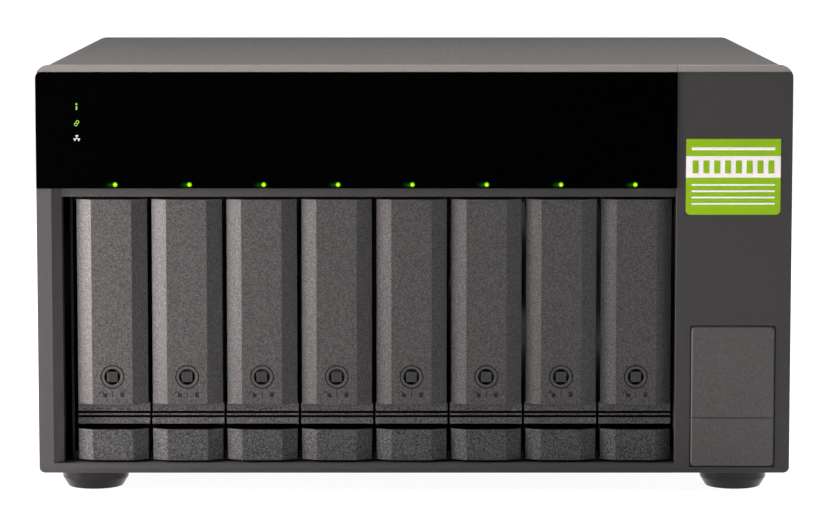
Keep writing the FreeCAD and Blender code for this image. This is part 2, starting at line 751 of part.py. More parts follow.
def blank_cover():
    """Snap-in blank plate at the foot of the column, crossed by one groove."""
    body = new_body("blank_cover")
    low, high = blank_span()
    x_low = seam + size.blank_side
    x_high = right - size.blank_side
    face = bezel_face - size.blank_proud
    pad(body, "XZ", face, bezel_face + size.blank_seat,
        [rectangle(x_low, x_high, low, high, (size.blank_corner,) * 4)])
    soften(body, "Chamfer", size.blank_proud,
           lambda edge: abs(edge.CenterOfMass.y - face.value) < 1e-6
           and edge.BoundBox.YLength < 1e-6)
    groove = low + size.blank_groove
    pocket(body, "XZ", face - 1, face + size.blank_proud,
           [rectangle(x_low - 1, x_high + 1, groove, groove + size.blank_groove_width)])
    part(body, "blank_cover")


def display_panel():
    """Glossy dark window over the status lamps."""
    body = new_body("display_panel")
    pad(body, "XZ", front, panel_back,
        [rectangle(left, seam, panel_bottom, panel_top, (0, 0, 0, size.panel_corner))])
    part(body, "display_panel")


def lamp_places():
    z = panel_bottom + size.led_rise
    return [(left + size.led_first + size.led_spacing * i, z) for i in range(BAYS)]


def light_guides():
    """Clear comb that brings the drive lamps to the window."""
    body = new_body("light_guides")
    half = size.led_width / 2
    lamps = lamp_places()
    z = lamps[0][1]
    bar_front = frame_back - size.led_body - 0.2 - size.guide_bar
    pad(body, "XZ", bar_front, bar_front + size.guide_bar,
        [rectangle(lamps[0][0] - 4, lamps[-1][0] + 4, z - half, z + half)])
    pad(body, "XZ", panel_back, bar_front,
        [rectangle(x - half, x + half, z - half, z + half) for x, _ in lamps])
    part(body, "light_guides")


def indicator_board():
    """Board behind the window, with a lamp at each light guide and three status lamps."""
    board = new_body("indicator_plate")
    pad(board, "XZ", frame_back, frame_back + size.board_thick,
        [rectangle(left + size.window_edge + 3, seam - 1, panel_bottom - 1, panel_top - 1)])
    lamps = new_body("indicator_lamps")
    half = size.led_width / 2
    status = panel_bottom + size.status_rise
    spots = lamp_places()
    spots += [(left + size.status_x, status + size.status_spacing * step) for step in range(3)]
    pad(lamps, "XZ", frame_back - size.led_body, frame_back,
        [rectangle(x - half, x + half, z - half, z + half) for x, z in spots])
    group([board, lamps], "indicator_board")


# ---------------------------------------------------------------- drive cage

def shelf_end():
    return rear_inside - size.fan_depth - size.shelf_gap


def drive_cage():
    """Steel box round the trays, with a shelf behind it for the control board."""
    body = new_body("drive_cage")
    pad(body, "XZ", frame_back, backplane_front,
        [rectangle(cage_left, cage_right, pan_top, cage_top)])
    pocket(body, "XZ", frame_back - 1, backplane_front + 1,
           [rectangle(cage_left + size.gauge, seam, cage_floor, cage_ceiling)])
    pad(body, "XZ", backplane_front, shelf_end(),
        [rectangle(cage_left, cage_right, cage_ceiling, cage_top)])
    edge = size.cage_window_edge
    window = pocket(body, "YZ", cage_left - 1, cage_right + 1,
                    [rectangle(frame_back + edge, frame_back + edge + size.cage_window,
                               cage_floor + edge, cage_ceiling - edge)])
    repeat(body, window, "Y", size.cage_window_spacing, 4)
    part(body, "drive_cage")


def guide_comb(name, z_base, z_edge, z_rib, y_low):
    """Moulded comb: a plate with a rib between each two trays and one at either end."""
    body = new_body(name)
    y_high = backplane_front - 2
    x_low = cage_left + size.gauge
    pad(body, "XZ", y_low, y_high, [rectangle(x_low, seam, z_base, z_edge)])
    half = size.guide_rib_width / 2
    between = bay_centre(0) + size.tray_spacing / 2
    rib = pad(body, "XZ", y_low, y_high,
              [rectangle(between - half, between + half, z_edge, z_rib)])
    repeat(body, rib, "X", size.tray_spacing, BAYS - 1)
    tray_left = bay_centre(0) - tray_width / 2
    tray_right = bay_centre(BAYS - 1) + tray_width / 2
    pad(body, "XZ", y_low, y_high,
        [rectangle(x_low, tray_left - size.tray_gap / 4, z_edge, z_rib),
         rectangle(tray_right + size.tray_gap / 4, seam, z_edge, z_rib)])
    return body


def tray_guides():
    lower = guide_comb("lower_guide", cage_floor, guide_top, guide_top + size.guide_rib,
                       frame_back)
    upper = guide_comb("upper_guide", cage_ceiling, guide_ceiling,
                       guide_ceiling - size.guide_rib, frame_back + size.guide_setback)
    group([lower, upper], "tray_guides")


def plug_span():
    low = tray_bottom + size.plug_rise
    return low, low + size.plug_height


def plug_x(number):
    return bay_centre(number) + size.drive_thick / 2 - size.plug_width


def backplane():
    """Board that closes the cage, with air windows beside each drive connector."""
    body = new_body("backplane")
    pad(body, "XZ", backplane_front, backplane_front + size.board_thick,
        [rectangle(cage_left, cage_right, pan_top, cage_ceiling)])
    low, high = plug_span()
    x_low = plug_x(0) - size.plug_width - size.air_window
    middle = (low + high) / 2
    bridge = size.air_window_bridge / 2
    window = pocket(body, "XZ", backplane_front - 1, backplane_front + size.board_thick + 1,
                    [rectangle(x_low, x_low + size.air_window,
                               low - size.air_window_reach / 2, middle - bridge),
                     rectangle(x_low, x_low + size.air_window,
                               middle + bridge, high + size.air_window_reach)])
    repeat(body, window, "X", size.tray_spacing, BAYS)
    part(body, "backplane")


def drive_connectors():
    """One slotted power-and-data plug for each bay."""
    body = new_body("drive_plug")
    low, high = plug_span()
    half = size.plug_width / 2
    plug_front = backplane_front - size.plug_depth
    pad(body, "XZ", plug_front, backplane_front, [rectangle(-half, half, low, high)])
    pocket(body, "XZ", plug_front - 1, plug_front + size.plug_slot_depth,
           [rectangle(-half / 3, half / 3, low + 2, high - 2)])
    group([copy_of(body, plug_x(n)) for n in range(BAYS)], "drive_connectors")


# ---------------------------------------------------------------- drive trays

handle_foot = tray_bottom + size.lower_plate + size.finger_slot + size.bar_height + size.bar_gap
pin_y = tray_face + size.hinge_inset
pin_z = tray_top - size.hinge_drop
head_front = tray_face + size.facet_depth + size.plate_wall + size.tray_setin
head_back = tray_face + size.tray_head
half_tray = tray_width / 2
inner_half = half_tray - size.tray_wall


def facets(back_y, setback=0, overlap=0):
    """Plan outline of a tray front: flat middle, two sloping facets, closed at the back."""
    face = tray_face + setback
    middle = half_tray - size.facet_width
    edge = half_tray + overlap
    return [(-edge, back_y), (-edge, face + size.facet_depth), (-middle, face),
            (middle, face), (edge, face + size.facet_depth), (edge, back_y)]


def hollow_facets():
    """The same outline as a wall of even thickness."""
    middle = half_tray - size.facet_width
    deep = size.facet_depth + size.plate_wall
    return [(-half_tray, tray_face + size.facet_depth), (-middle, tray_face),
            (middle, tray_face), (half_tray, tray_face + size.facet_depth),
            (half_tray, tray_face + deep), (middle - size.plate_wall / 4,
                                            tray_face + size.plate_wall),
            (-middle + size.plate_wall / 4, tray_face + size.plate_wall),
            (-half_tray, tray_face + deep)]


def tray_body():
    """Tray: fixed lower plate, front box with the hinge knuckle, and an open drive carrier."""
    body = new_body("tray_1")
    plate_top = tray_bottom + size.lower_plate
    pad(body, "XY", tray_bottom, plate_top, [facets(head_front)])
    # front box: two cheeks cut back at the top, where the handle swings in
    swing = size.hinge_drop + size.tray_setin * 2
    reach = pin_y + swing * math.cos(math.radians(40))
    crest = pin_z + swing * math.sin(math.radians(40)) + 1
    pad(body, "YZ", -half_tray, half_tray, [[
        (head_front, tray_bottom), (head_front, pin_z - 1), (reach, crest), (reach, tray_top),
        (head_back, tray_top), (head_back, tray_bottom)]])
    pocket(body, "YZ", -inner_half, inner_half, [[
        (head_front - 1, plate_top), (head_front - 1, tray_top - size.tray_wall),
        (head_back - size.tray_wall, tray_top - size.tray_wall),
        (head_back - size.tray_wall, plate_top)]])
    pocket(body, "YZ", -half_tray - 1, half_tray + 1,
           [rectangle(head_front - 1, bar_rear() + size.bar_travel + size.tray_setin,
                      plate_top, handle_foot)])
    low, high = carrier_span()
    end = drive_back + size.drive_play
    # carrier: one side wall with windows, two rails, pads under the drive's edges
    pad(body, "XZ", head_back, end, [[
        (-half_tray, tray_bottom), (half_tray, tray_bottom), (half_tray, low), (-inner_half, low),
        (-inner_half, high), (half_tray, high), (half_tray, tray_top), (-half_tray, tray_top)]])
    pad_low = drive_low() - size.drive_play
    pad_high = drive_low() + size.drive_width + size.drive_play
    spots = [drive_front + size.pad_setback, drive_back - size.pad_setback - size.pad_length]
    for spot in spots:
        pad(body, "XZ", spot, spot + size.pad_length,
            [rectangle(-inner_half, half_tray, low, pad_low),
             rectangle(-inner_half, half_tray, pad_high, high)])
    margin = size.tray_window_side
    window_front = drive_front + size.tray_window_setback
    middle = (low + high) / 2
    pocket(body, "YZ", -half_tray - 1, -inner_half + 0.01,
           [rectangle(window_front, drive_back - margin * 2,
                      middle + margin / 2, high - margin * 1.5),
            rectangle(window_front, drive_back - margin * 2,
                      low + margin * 1.5, middle - margin / 2)])
    # vent in the back of the front box
    vent = plate_top + size.tray_vent_low
    pocket(body, "XZ", head_back - size.tray_wall - 1, head_back + 1,
           [rectangle(-inner_half + size.tray_vent_side, inner_half - size.tray_vent_side,
                      vent, vent + size.tray_vent_height)])
    # hinge knuckle in the middle of the box
    half_knuckle = size.knuckle_width / 2
    nose = size.knuckle_radius
    knuckle_back = head_back - size.tray_wall / 2
    pad(body, "YZ", -half_knuckle, half_knuckle, [[
        (pin_y - nose, pin_z - nose / 2), (pin_y - nose / 2, pin_z - nose),
        (knuckle_back, pin_z - nose), (knuckle_back, pin_z + nose),
        (pin_y - nose / 2, pin_z + nose), (pin_y - nose, pin_z + nose / 2)]])
    pocket(body, "YZ", -half_knuckle - 1, half_knuckle + 1,
           circles=[((pin_y, pin_z), size.hinge_pin / 2 + size.pin_clearance)])
    # bar that the lock cam turns behind
    strike = handle_foot + size.strike_rise
    pad(body, "XZ", strike_back() - size.strike_thick, strike_back(),
        [rectangle(-inner_half - 0.1, inner_half + 0.1, strike, strike + size.strike_height)])
    return body


def strike_back():
    return tray_face + size.lock_boss_depth + size.strike_gap + size.strike_thick


def carrier_span():
    return tray_bottom + size.tray_wall, tray_top - size.tray_wall


def drive_low():
    return (tray_bottom + tray_top) / 2 - size.drive_width / 2


def tray_handle():
    """Handle: faceted front wall on two hinge ears, with the pin and the lock bore."""
    body = new_body("tray_handle_1")
    pad(body, "XY", handle_foot, tray_top, [hollow_facets()])
    back_y = tray_face + size.facet_depth + size.plate_wall
    for z in (handle_foot, tray_top - size.tray_wall):
        pad(body, "XY", z, z + size.tray_wall, [facets(back_y)])
    ear_low = size.knuckle_width / 2 + size.tray_setin
    for side in (-1, 1):
        low, high = sorted(
            [ear_low * side, (ear_low + size.ear_width) * side], key=lambda place: place.value)
        pad(body, "YZ", low, high,
            [rectangle(tray_face + size.plate_wall / 2, pin_y + size.knuckle_radius,
                       pin_z - size.knuckle_radius, pin_z + size.knuckle_radius)])
    pad(body, "YZ", -ear_low - 0.1, ear_low + 0.1,
        circles=[((pin_y, pin_z), size.hinge_pin / 2)])
    centre = (length(0), handle_foot + size.lock_rise)
    half_boss = size.lock_boss / 2
    pad(body, "XZ", tray_face + size.plate_wall / 2, tray_face + size.lock_boss_depth,
        [rectangle(-half_boss, half_boss, centre[1] - half_boss, centre[1] + half_boss)])
    pocket(body, "XZ", tray_face - 1, tray_face + size.lock_boss_depth + 1,
           circles=[(centre, size.lock_bore / 2)])
    return body


def bar_rear():
    return tray_face + size.bar_depth


def release_bar():
    """Release bar: front leaning back, two grooves, and a stem in the front box."""
    body = new_body("release_button_1")
    low = tray_bottom + size.lower_plate + size.finger_slot
    high = low + size.bar_height
    lean = size.bar_setback / size.bar_height
    foot = tray_face + size.bar_inset
    groove = size.bar_groove
    edge = half_tray + size.bar_overlap

    def face(rise):
        return foot + lean * rise

    outline = [(bar_rear(), low), (foot, low)]
    for rise in (size.bar_groove_rise, size.bar_groove_rise + groove * 2):
        bottom = face(rise) + size.bar_groove_depth
        outline += [(face(rise), low + rise), (bottom, low + rise),
                    (bottom, low + rise + groove), (face(rise + groove), low + rise + groove)]
    outline += [(face(size.bar_height), high), (bar_rear(), high)]
    pad(body, "YZ", -edge, edge, [outline])
    stem = inner_half - size.tray_setin
    pad(body, "YZ", -stem, stem,
        [rectangle(bar_rear() - 0.5, head_back - size.tray_wall - size.bar_travel - 0.5,
                   low + 1, high - 1)])
    return body


def tray_lock():
    """Lock: square core that turns in the round bore, with a cam behind the strike bar."""
    body = new_body("tray_lock_1")
    z = handle_foot + size.lock_rise
    half = size.lock_square / 2
    cam_front = strike_back() + size.tray_setin
    pad(body, "XZ", tray_face + size.lock_sunk, cam_front,
        [rectangle(-half, half, z - half, z + half)])
    half_cam = size.cam_width / 2
    pad(body, "XZ", cam_front, cam_front + size.cam_thick,
        [rectangle(-size.cam_tail, size.cam_length, z - half_cam, z + half_cam)])
    return body


def drive_trays():
    """Eight trays with their handles, release bars and locks."""
    makers = [("tray", tray_body), ("tray_handle", tray_handle),
              ("release_button", release_bar), ("tray_lock", tray_lock)]
    for name, make in makers:
        first = make()
        put(first, bay_centre(0))
        part(first, name + "_1")
        for number in range(1, BAYS):
            again = copy_of(first, size.tray_spacing * number)
            part(again, "%s_%d" % (name, number + 1))


# ---------------------------------------------------------------- fans

def fan_frame():
    """Square fan frame: two flanges, round duct, motor seat with its bearing on four struts."""
    body = new_body("fan_frame")
    half = size.fan_size / 2
    depth = size.fan_depth
    pad(body, "XZ", length(0), depth, [rectangle(-half, half, -half, half)])
    duct = duct_radius()
    pocket(body, "XZ", length(-1), depth + 1, circles=[((0, 0), duct)])
    notch = half - size.fan_lug
    cut = size.fan_flange
    pocket(body, "XZ", cut, depth - cut,
           [rectangle(-notch, notch, duct + size.fan_wall - 1, half + 1),
            rectangle(-notch, notch, -half - 1, -duct - size.fan_wall + 1),
            rectangle(duct + size.fan_wall - 1, half + 1, -notch, notch),
            rectangle(-half - 1, -duct - size.fan_wall + 1, -notch, notch)])
    strut_front = depth - size.strut_depth
    half_strut = size.strut_width / 2
    for low, high in ((size.hub_width / 2 - 1, duct + 0.5), (-duct - 0.5, -size.hub_width / 2 + 1)):
        pad(body, "XZ", strut_front, depth,
            [rectangle(low, high, -half_strut, half_strut)])
        pad(body, "XZ", strut_front, depth,
            [rectangle(-half_strut, half_strut, low, high)])
    pad(body, "XZ", strut_front, depth, circles=[((0, 0), size.hub_width / 2)])
    pocket(body, "XZ", strut_front - 1, depth + 1,
           circles=[((0, 0), size.shaft_width / 2 + size.shaft_clearance)])
    return body


def fan_rotor(name, hub_radius, tip_radius, hub_front, hub_back, shaft_end, blades, chords):
    """Hub on a shaft, with pitched blades that widen from hub to tip."""
    body = new_body(name)
    pad(body, "XZ", hub_front, hub_back, circles=[((0, 0), hub_radius)])
    pad(body, "XZ", hub_back - 1, shaft_end, circles=[((0, 0), size.shaft_width / 2)])
    # the flat tip stands back, so that its two corners keep clear of the duct
    half_tip = turned(chords[1] / 2, size.blade_pitch, "cos") + size.blade_thick / 2
    tip = root(tip_radius * tip_radius - half_tip * half_tip)
    foot = hub_radius - size.blade_thick
    middle = (hub_front + hub_back) / 2
    blade = pitched_plate(body, middle, size.blade_pitch, size.blade_thick, [
        (foot, -chords[0] / 2), (tip, -chords[1] / 2), (tip, chords[1] / 2), (foot, chords[0] / 2)])
    around(body, [blade], blades)
    return body


def turned(value, pitch, function):
    """Sine or cosine of a sheet angle times a length, as a Size."""
    number = getattr(math, function)(math.radians(pitch.value))
    return Size(value.value * number, "(%s * %s(%s * 1 deg))" % (value.text, function, pitch.text))


def pitched_plate(body, middle, pitch, thickness, points):
    """Flat plate along X that crosses the fan's axis at a place, turned to its pitch about X."""
    sketch = new_sketch(body, "XZ", middle)
    offset = sketch.AttachmentOffset
    offset.Rotation = FreeCAD.Rotation(FreeCAD.Vector(-1, 0, 0), pitch.value)
    sketch.AttachmentOffset = offset
    sketch.setExpression("AttachmentOffset.Rotation.Angle", "%s * 1 deg" % pitch.text)
    draw_outline(sketch, points)
    plate = body.newObject("PartDesign::Pad", body.Name + "_blade")
    plate.Profile = sketch
    bind(plate, "Length", thickness)
    plate.Midplane = True
    return plate


def case_fans():
    frame = fan_frame()
    front_face = rear_inside - size.fan_depth
    places = fan_centres()
    group([copy_of(frame, x, front_face, z) for x, z in places], "fan_frames")
    duct = duct_radius()
    tip = duct - size.blade_gap
    depth = size.fan_depth
    for side, (x, z) in zip(("left", "right"), places):
        hub_back = depth - size.strut_depth - size.tray_setin
        rotor = fan_rotor("fan_rotor_" + side, size.hub_width / 2, tip,
                          hub_back - size.hub_depth, hub_back, depth - size.tray_setin, 7,
                          (size.blade_chord, size.blade_tip_chord))
        part(put(rotor, x, front_face, z), "fan_rotor_" + side)


# ---------------------------------------------------------------- power supply

def supply_left():
    return inner_right - size.supply_side - size.supply_width


def supply_centre():
    return supply_left() + size.supply_width / 2


def supply_fan_z():
    return pan_top + size.supply_fan_rise


def power_supply():
    """Slim supply standing on edge: closed case, fan duct with a slotted guard, inlet seat."""
    body = new_body("power_supply")
    x = supply_centre()
    z = supply_fan_z()
    pad(body, "XZ", rear_inside - size.supply_length, rear_inside,
        [rectangle(supply_left(), supply_left() + size.supply_width, pan_top,
                   pan_top + size.supply_height)])
    duct_front = rear_inside - size.gauge - size.supply_fan_depth
    pocket(body, "XZ", duct_front, rear_inside - size.gauge,
           circles=[((x, z), size.supply_fan / 2)])
    half = size.supply_fan / 2 - size.supply_guard_edge
    slot = size.supply_slot / 2
    pocket(body, "XZ", rear_inside - size.gauge - 0.5, rear_inside + 1,
           [rectangle(x - half, x + half, z + size.supply_slot * 2 * k - slot,
                      z + size.supply_slot * 2 * k + slot) for k in (-2, -1, 0, 1, 2)])
    pocket(body, "XZ", duct_front - size.supply_seat, duct_front + 0.5,
           circles=[((x, z), size.shaft_width / 2 + size.shaft_clearance)])
    low = pan_top + size.inlet_rise
    pocket(body, "XZ", rear_inside - size.inlet_depth, rear_inside + 1,
           [rectangle(x - size.inlet_width / 2, x + size.inlet_width / 2,
                      low - size.inlet_height / 2, low + size.inlet_height / 2)])
    part(body, "power_supply")


def supply_rotor():
    """Small rotor of the supply, its shaft in the bearing in the duct."""
    duct_front = rear_inside - size.gauge - size.supply_fan_depth
    rotor = fan_rotor("psu_fan_rotor", size.supply_hub / 2, size.supply_fan / 2 - 1.2,
                      length(0), size.supply_hub_depth,
                      size.supply_hub_depth + size.supply_seat, 5,
                      (size.supply_chord, size.supply_tip_chord))
    turn = FreeCAD.Rotation(FreeCAD.Vector(0, 0, 1), 180)
    rotor.Placement = FreeCAD.Placement(FreeCAD.Vector(0, 0, 0), turn)
    seat = duct_front + size.tray_setin
    part(put(rotor, supply_centre(), seat + size.supply_hub_depth, supply_fan_z()),
         "psu_fan_rotor")


def power_inlet():
    """Mains socket: rim, recess and three blades."""
    body = new_body("inlet_shell")
    x = supply_centre()
    z = pan_top + size.inlet_rise
    play = size.screw_play / 2
    wide = size.inlet_width / 2 - play
    tall = size.inlet_height / 2 - play
    pad(body, "XZ", rear_inside - size.inlet_depth + play, rear_inside,
        [rectangle(x - wide, x + wide, z - tall, z + tall)])
    pad(body, "XZ", rear_inside, rear_inside + size.inlet_flange,
        [rectangle(x - wide - 1.5, x + wide + 1.5, z - tall - 1.5, z + tall + 1.5)])
    edge = size.inlet_wall
    pocket(body, "XZ", rear_inside - size.inlet_depth + edge + play,
           rear_inside + size.inlet_flange + 1, [[
               (x - wide + edge, z - tall + edge), (x + wide - edge, z - tall + edge),
               (x + wide - edge, z + tall - edge - 4), (x + wide - edge - 4, z + tall - edge),
               (x - wide + edge + 4, z + tall - edge), (x - wide + edge, z + tall - edge - 4)]])
    blades = new_body("inlet_blades")
    floor = rear_inside - size.inlet_depth + edge + play
    pad(blades, "XZ", floor, rear_inside - 2,
        [rectangle(x + dx - 1, x + dx + 1, z + dz - 2, z + dz + 2)
         for dx, dz in ((-7, -1), (0, 3), (7, -1))])
    group([body, blades], "power_inlet")


# ---------------------------------------------------------------- control board and controls

def board_bottom():
    return higher(cage_top, fan_top()) + size.standoff


def board_top():
    return board_bottom() + size.board_thick


def board_back():
    return rear_inside - 1.5


def port_x():
    return size.board_shift + size.port_offset


def control_z():
    return top - size.control_drop


def button_centre():
    return left + size.button_x


def dial_centre():
    return left + size.dial_x


def control_board():
    body = new_body("control_board")
    half = size.board_width / 2
    pad(body, "XY", board_bottom(), board_top(),
        [rectangle(size.board_shift - half, size.board_shift + half,
                   board_back() - size.board_length, board_back())])
    part(body, "control_board")


def hexagon(radius):
    return [(radius * math.cos(math.radians(60 * step)), radius * math.sin(math.radians(60 * step)))
            for step in range(6)]


def board_standoffs():
    """Four hexagonal posts between the cage shelf and the control board."""
    post = new_body("standoff")
    pad(post, "XY", cage_top, board_bottom(), [hexagon(size.standoff_width / 2)])
    half = size.board_width / 2 - size.post_inset
    rows = (board_back() - size.board_length + size.post_inset, shelf_end() - size.post_setback)
    group([copy_of(post, size.board_shift + half * i, y) for i in (-1, 1) for y in rows],
          "board_standoffs")


def heat_sink():
    """Finned block over the bridge chip."""
    body = new_body("controller_heatsink")
    x = size.board_shift - size.sink_shift
    y = board_back() - size.board_length / 2
    half = size.sink_size / 2
    pad(body, "XY", board_top(), board_top() + size.sink_height,
        [rectangle(x - half, x + half, y - half, y + half)])
    slot_left = x - half + size.sink_fin
    slot = pocket(body, "XY", board_top() + size.sink_base, board_top() + size.sink_height + 1,
                  [rectangle(slot_left, slot_left + size.sink_spacing - size.sink_fin,
                             y - half - 1, y + half + 1)])
    repeat(body, slot, "X", size.sink_spacing, 5)
    part(body, "controller_heatsink")


def serial_port():
    """Small reversible serial port on the rear edge of the control board."""
    body = new_body("usb_c_port")
    x = port_x()
    z = board_top()
    half = size.port_width / 2
    y_end = rear_face + 0.2
    pad(body, "XZ", y_end - size.port_length, y_end,
        [rectangle(x - half, x + half, z, z + size.port_height,
                   (size.port_height / 2 - 0.05,) * 4)])
    pocket(body, "XZ", y_end - size.port_length + 1, y_end + 1,
           [rectangle(x - half + 0.9, x + half - 0.9, z + 0.5, z + size.port_height - 0.5)])
    part(body, "usb_c_port")


def control_housings():
    """Switch box behind the power button and potentiometer box behind the dial."""
    boxes = []
    half = size.housing_size / 2
    end = rear_inside
    for name, x, inside in (("switch_box", button_centre(), size.button_width / 2),
                            ("dial_box", dial_centre(), size.dial_shaft / 2)):
        body = new_body(name)
        pad(body, "XZ", end - size.housing_depth, end,
            [rectangle(x - half, x + half, control_z() - half, control_z() + half)])
        inside = inside + size.tray_setin
        pocket(body, "XZ", end - size.housing_depth + 2, end + 1,
               [rectangle(x - inside, x + inside, control_z() - inside, control_z() + inside)])
        boxes.append(body)
    group(boxes, "control_housings")


def power_button():
    """Round button, pressed straight in."""
    body = new_body("power_button")
    centre = (button_centre(), control_z())
    end = rear_face + size.button_proud
    start = rear_inside - size.housing_depth + 2 + size.button_travel + size.tray_setin
    pad(body, "XZ", start, end, circles=[(centre, size.button_width / 2)])
    part(body, "power_button")


def fan_speed_dial():
    """Rotary dial: shaft through the panel, knurled cap with a pointer groove."""
    body = new_body("fan_speed_dial")
    x = dial_centre()
    z = control_z()
    start = rear_inside - size.housing_depth + 2 + size.tray_setin
    cap_front = rear_face + size.tray_setin
    cap_back = lip_face + size.screw_head - 0.2
    pad(body, "XZ", start, cap_front + 0.5, circles=[((x, z), size.dial_shaft / 2)])
    pad(body, "XZ", cap_front, cap_back, circles=[((x, z), size.dial_width / 2)])
    pocket(body, "XZ", cap_back - 0.6, cap_back + 1,
           [rectangle(x - 0.6, x + 0.6, z, z + size.dial_width)])
    part(body, "fan_speed_dial")


def cover_screws():
    """Hexagon heads of the screws that hold the cover's lip to the rear panel."""
    head = new_body("cover_screw")
    pad(head, "XZ", lip_face, back, [hexagon(size.screw_head_width / 2)])
    group([copy_of(head, x, 0, z) for x, z in COVER_SCREWS], "cover_screws")


# ---------------------------------------------------------------- build and write

def check_document():
    """Stops if any object failed or any piece has a broken shape."""
    for obj in DOC.Objects:
        if "Invalid" in obj.State or "Error" in obj.State:
            raise RuntimeError("%s failed: %s" % (obj.Label, obj.State))
    for obj in PARTS:
        if obj.Shape.isNull() or not obj.Shape.isValid():
            raise RuntimeError("%s has no valid shape" % obj.Label)


def main():
    outer_cover()
    base_pan()
    rear_panel()
    feet()
    front_bezel()
    side_column()
    blank_cover()
    display_panel()
    light_guides()
    indicator_board()
    drive_cage()
    tray_guides()
    backplane()
    drive_connectors()
    drive_trays()
    case_fans()
    power_supply()
    supply_rotor()
    power_inlet()
    control_board()
    board_standoffs()
    heat_sink()
    serial_port()
    control_housings()
    power_button()
    fan_speed_dial()
    cover_screws()
    DOC.recompute()
    check_document()
    os.makedirs("parts", exist_ok=True)
    for obj in PARTS:
        obj.Shape.exportStep(os.path.join("parts", obj.Label + ".step"))


main()
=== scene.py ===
"""Looks of an eight-bay desktop disk shelf: finishes, small pieces and the studio."""

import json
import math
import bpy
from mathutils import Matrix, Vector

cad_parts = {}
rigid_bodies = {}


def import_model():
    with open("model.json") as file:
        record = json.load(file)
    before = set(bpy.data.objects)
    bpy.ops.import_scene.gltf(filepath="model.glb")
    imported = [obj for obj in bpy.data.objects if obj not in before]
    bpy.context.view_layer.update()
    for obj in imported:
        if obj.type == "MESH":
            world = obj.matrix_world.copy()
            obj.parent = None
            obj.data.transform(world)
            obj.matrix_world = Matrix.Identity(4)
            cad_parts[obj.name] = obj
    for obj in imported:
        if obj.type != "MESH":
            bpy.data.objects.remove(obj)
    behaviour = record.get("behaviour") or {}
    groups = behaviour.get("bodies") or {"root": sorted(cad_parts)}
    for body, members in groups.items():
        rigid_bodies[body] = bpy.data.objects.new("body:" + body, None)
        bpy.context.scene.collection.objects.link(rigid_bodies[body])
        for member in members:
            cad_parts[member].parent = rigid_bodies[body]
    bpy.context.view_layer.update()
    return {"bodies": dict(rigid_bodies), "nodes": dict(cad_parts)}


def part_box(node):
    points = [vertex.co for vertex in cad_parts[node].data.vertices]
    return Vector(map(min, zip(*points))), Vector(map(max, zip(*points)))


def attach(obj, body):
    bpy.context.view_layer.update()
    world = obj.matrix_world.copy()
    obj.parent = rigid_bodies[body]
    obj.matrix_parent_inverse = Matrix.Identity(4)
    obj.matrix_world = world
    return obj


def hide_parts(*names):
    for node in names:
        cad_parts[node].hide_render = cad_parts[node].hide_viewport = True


bl_info = {
    "name": "Disk Shelf Looks",
    "version": (1, 0, 0),
    "blender": (4, 5, 0),
    "location": "3D View > Sidebar > Disk Shelf",
    "description": "Finishes and small pieces of an eight-bay desktop disk shelf",
    "category": "Object",
}

import bmesh
import bpy
from bpy.props import FloatProperty, PointerProperty
from mathutils import Vector

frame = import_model()
NODES = frame["nodes"]
BAYS = sum(1 for name in frame["bodies"] if name.startswith("tray_handle_"))
MM = 0.001

MERGE_DISTANCE = 1e-6  # points of a CAD mesh that are nearer than this are one
FLAT_ANGLE = math.radians(0.5)  # faces that turn by less are one flat face
EDGE_ANGLE = math.radians(24)  # edges that turn by more get a radius
SHARP_ANGLE = math.radians(35)  # edges of a turned piece that turn by more stay sharp
TURNED_SIDES = 48  # sides of a turned piece
PRINT_THICKNESS = 0.08 * MM  # of signs and marks, which are partly sunk in their piece

SENSOR_WIDTH = 36.0
CAMERA_DISTANCE = 1.52  # in front of the window
CAMERA_X = -0.0008
CAMERA_HEIGHT = 0.267
CAMERA_TILT = 6.204  # degrees below level
CAMERA_SHIFT = 0.0013
CAMERA_REACH = 50.0  # how far it sees
VIEW_WIDTH = 0.35879  # width that is in view at the window

PANEL_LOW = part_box("display_panel")[0]
COLUMN_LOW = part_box("side_column")[0]
GUIDES_LOW, GUIDES_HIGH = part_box("light_guides")
PAST_END_LAMP = 4 * MM  # reach of the light guides' bar past its first and last lamp


def middle(node):
    """Middle of a CAD piece's box."""
    low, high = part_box(node)
    return (low + high) / 2


def first_lamp():
    """Middle of the first drive lamp's light guide, as (x, z)."""
    spacing = bpy.context.scene.shelf_sizes.lamp_spacing
    row = middle("light_guides")
    return row.x - spacing * (BAYS - 1) / 2, row.z


# ---------------------------------------------------------------- pieces and meshes

def as_mesh(name, solid):
    """A bmesh as a mesh; the bmesh is freed."""
    mesh = bpy.data.meshes.new(name)
    solid.to_mesh(mesh)
    solid.free()
    return mesh


def add_piece(name, mesh, *materials):
    """A mesh as an object of the scene, with its materials in its slots."""
    piece = bpy.data.objects.new(name, mesh)
    bpy.context.scene.collection.objects.link(piece)
    for material in materials:
        mesh.materials.append(material)
    return piece


def baked(piece):
    """Turns a piece and its modifiers into a plain mesh."""
    graph = bpy.context.evaluated_depsgraph_get()
    plain = bpy.data.meshes.new_from_object(
        piece.evaluated_get(graph), preserve_all_data_layers=True, depsgraph=graph)
    piece.modifiers.clear()
    piece.data = plain
    return piece


def merged_copy(node):
    """A copy of a CAD mesh with its loose triangles joined at their points."""
    solid = bmesh.new()
    solid.from_mesh(NODES[node].data)
    bmesh.ops.remove_doubles(solid, verts=solid.verts, dist=MERGE_DISTANCE)
    return solid


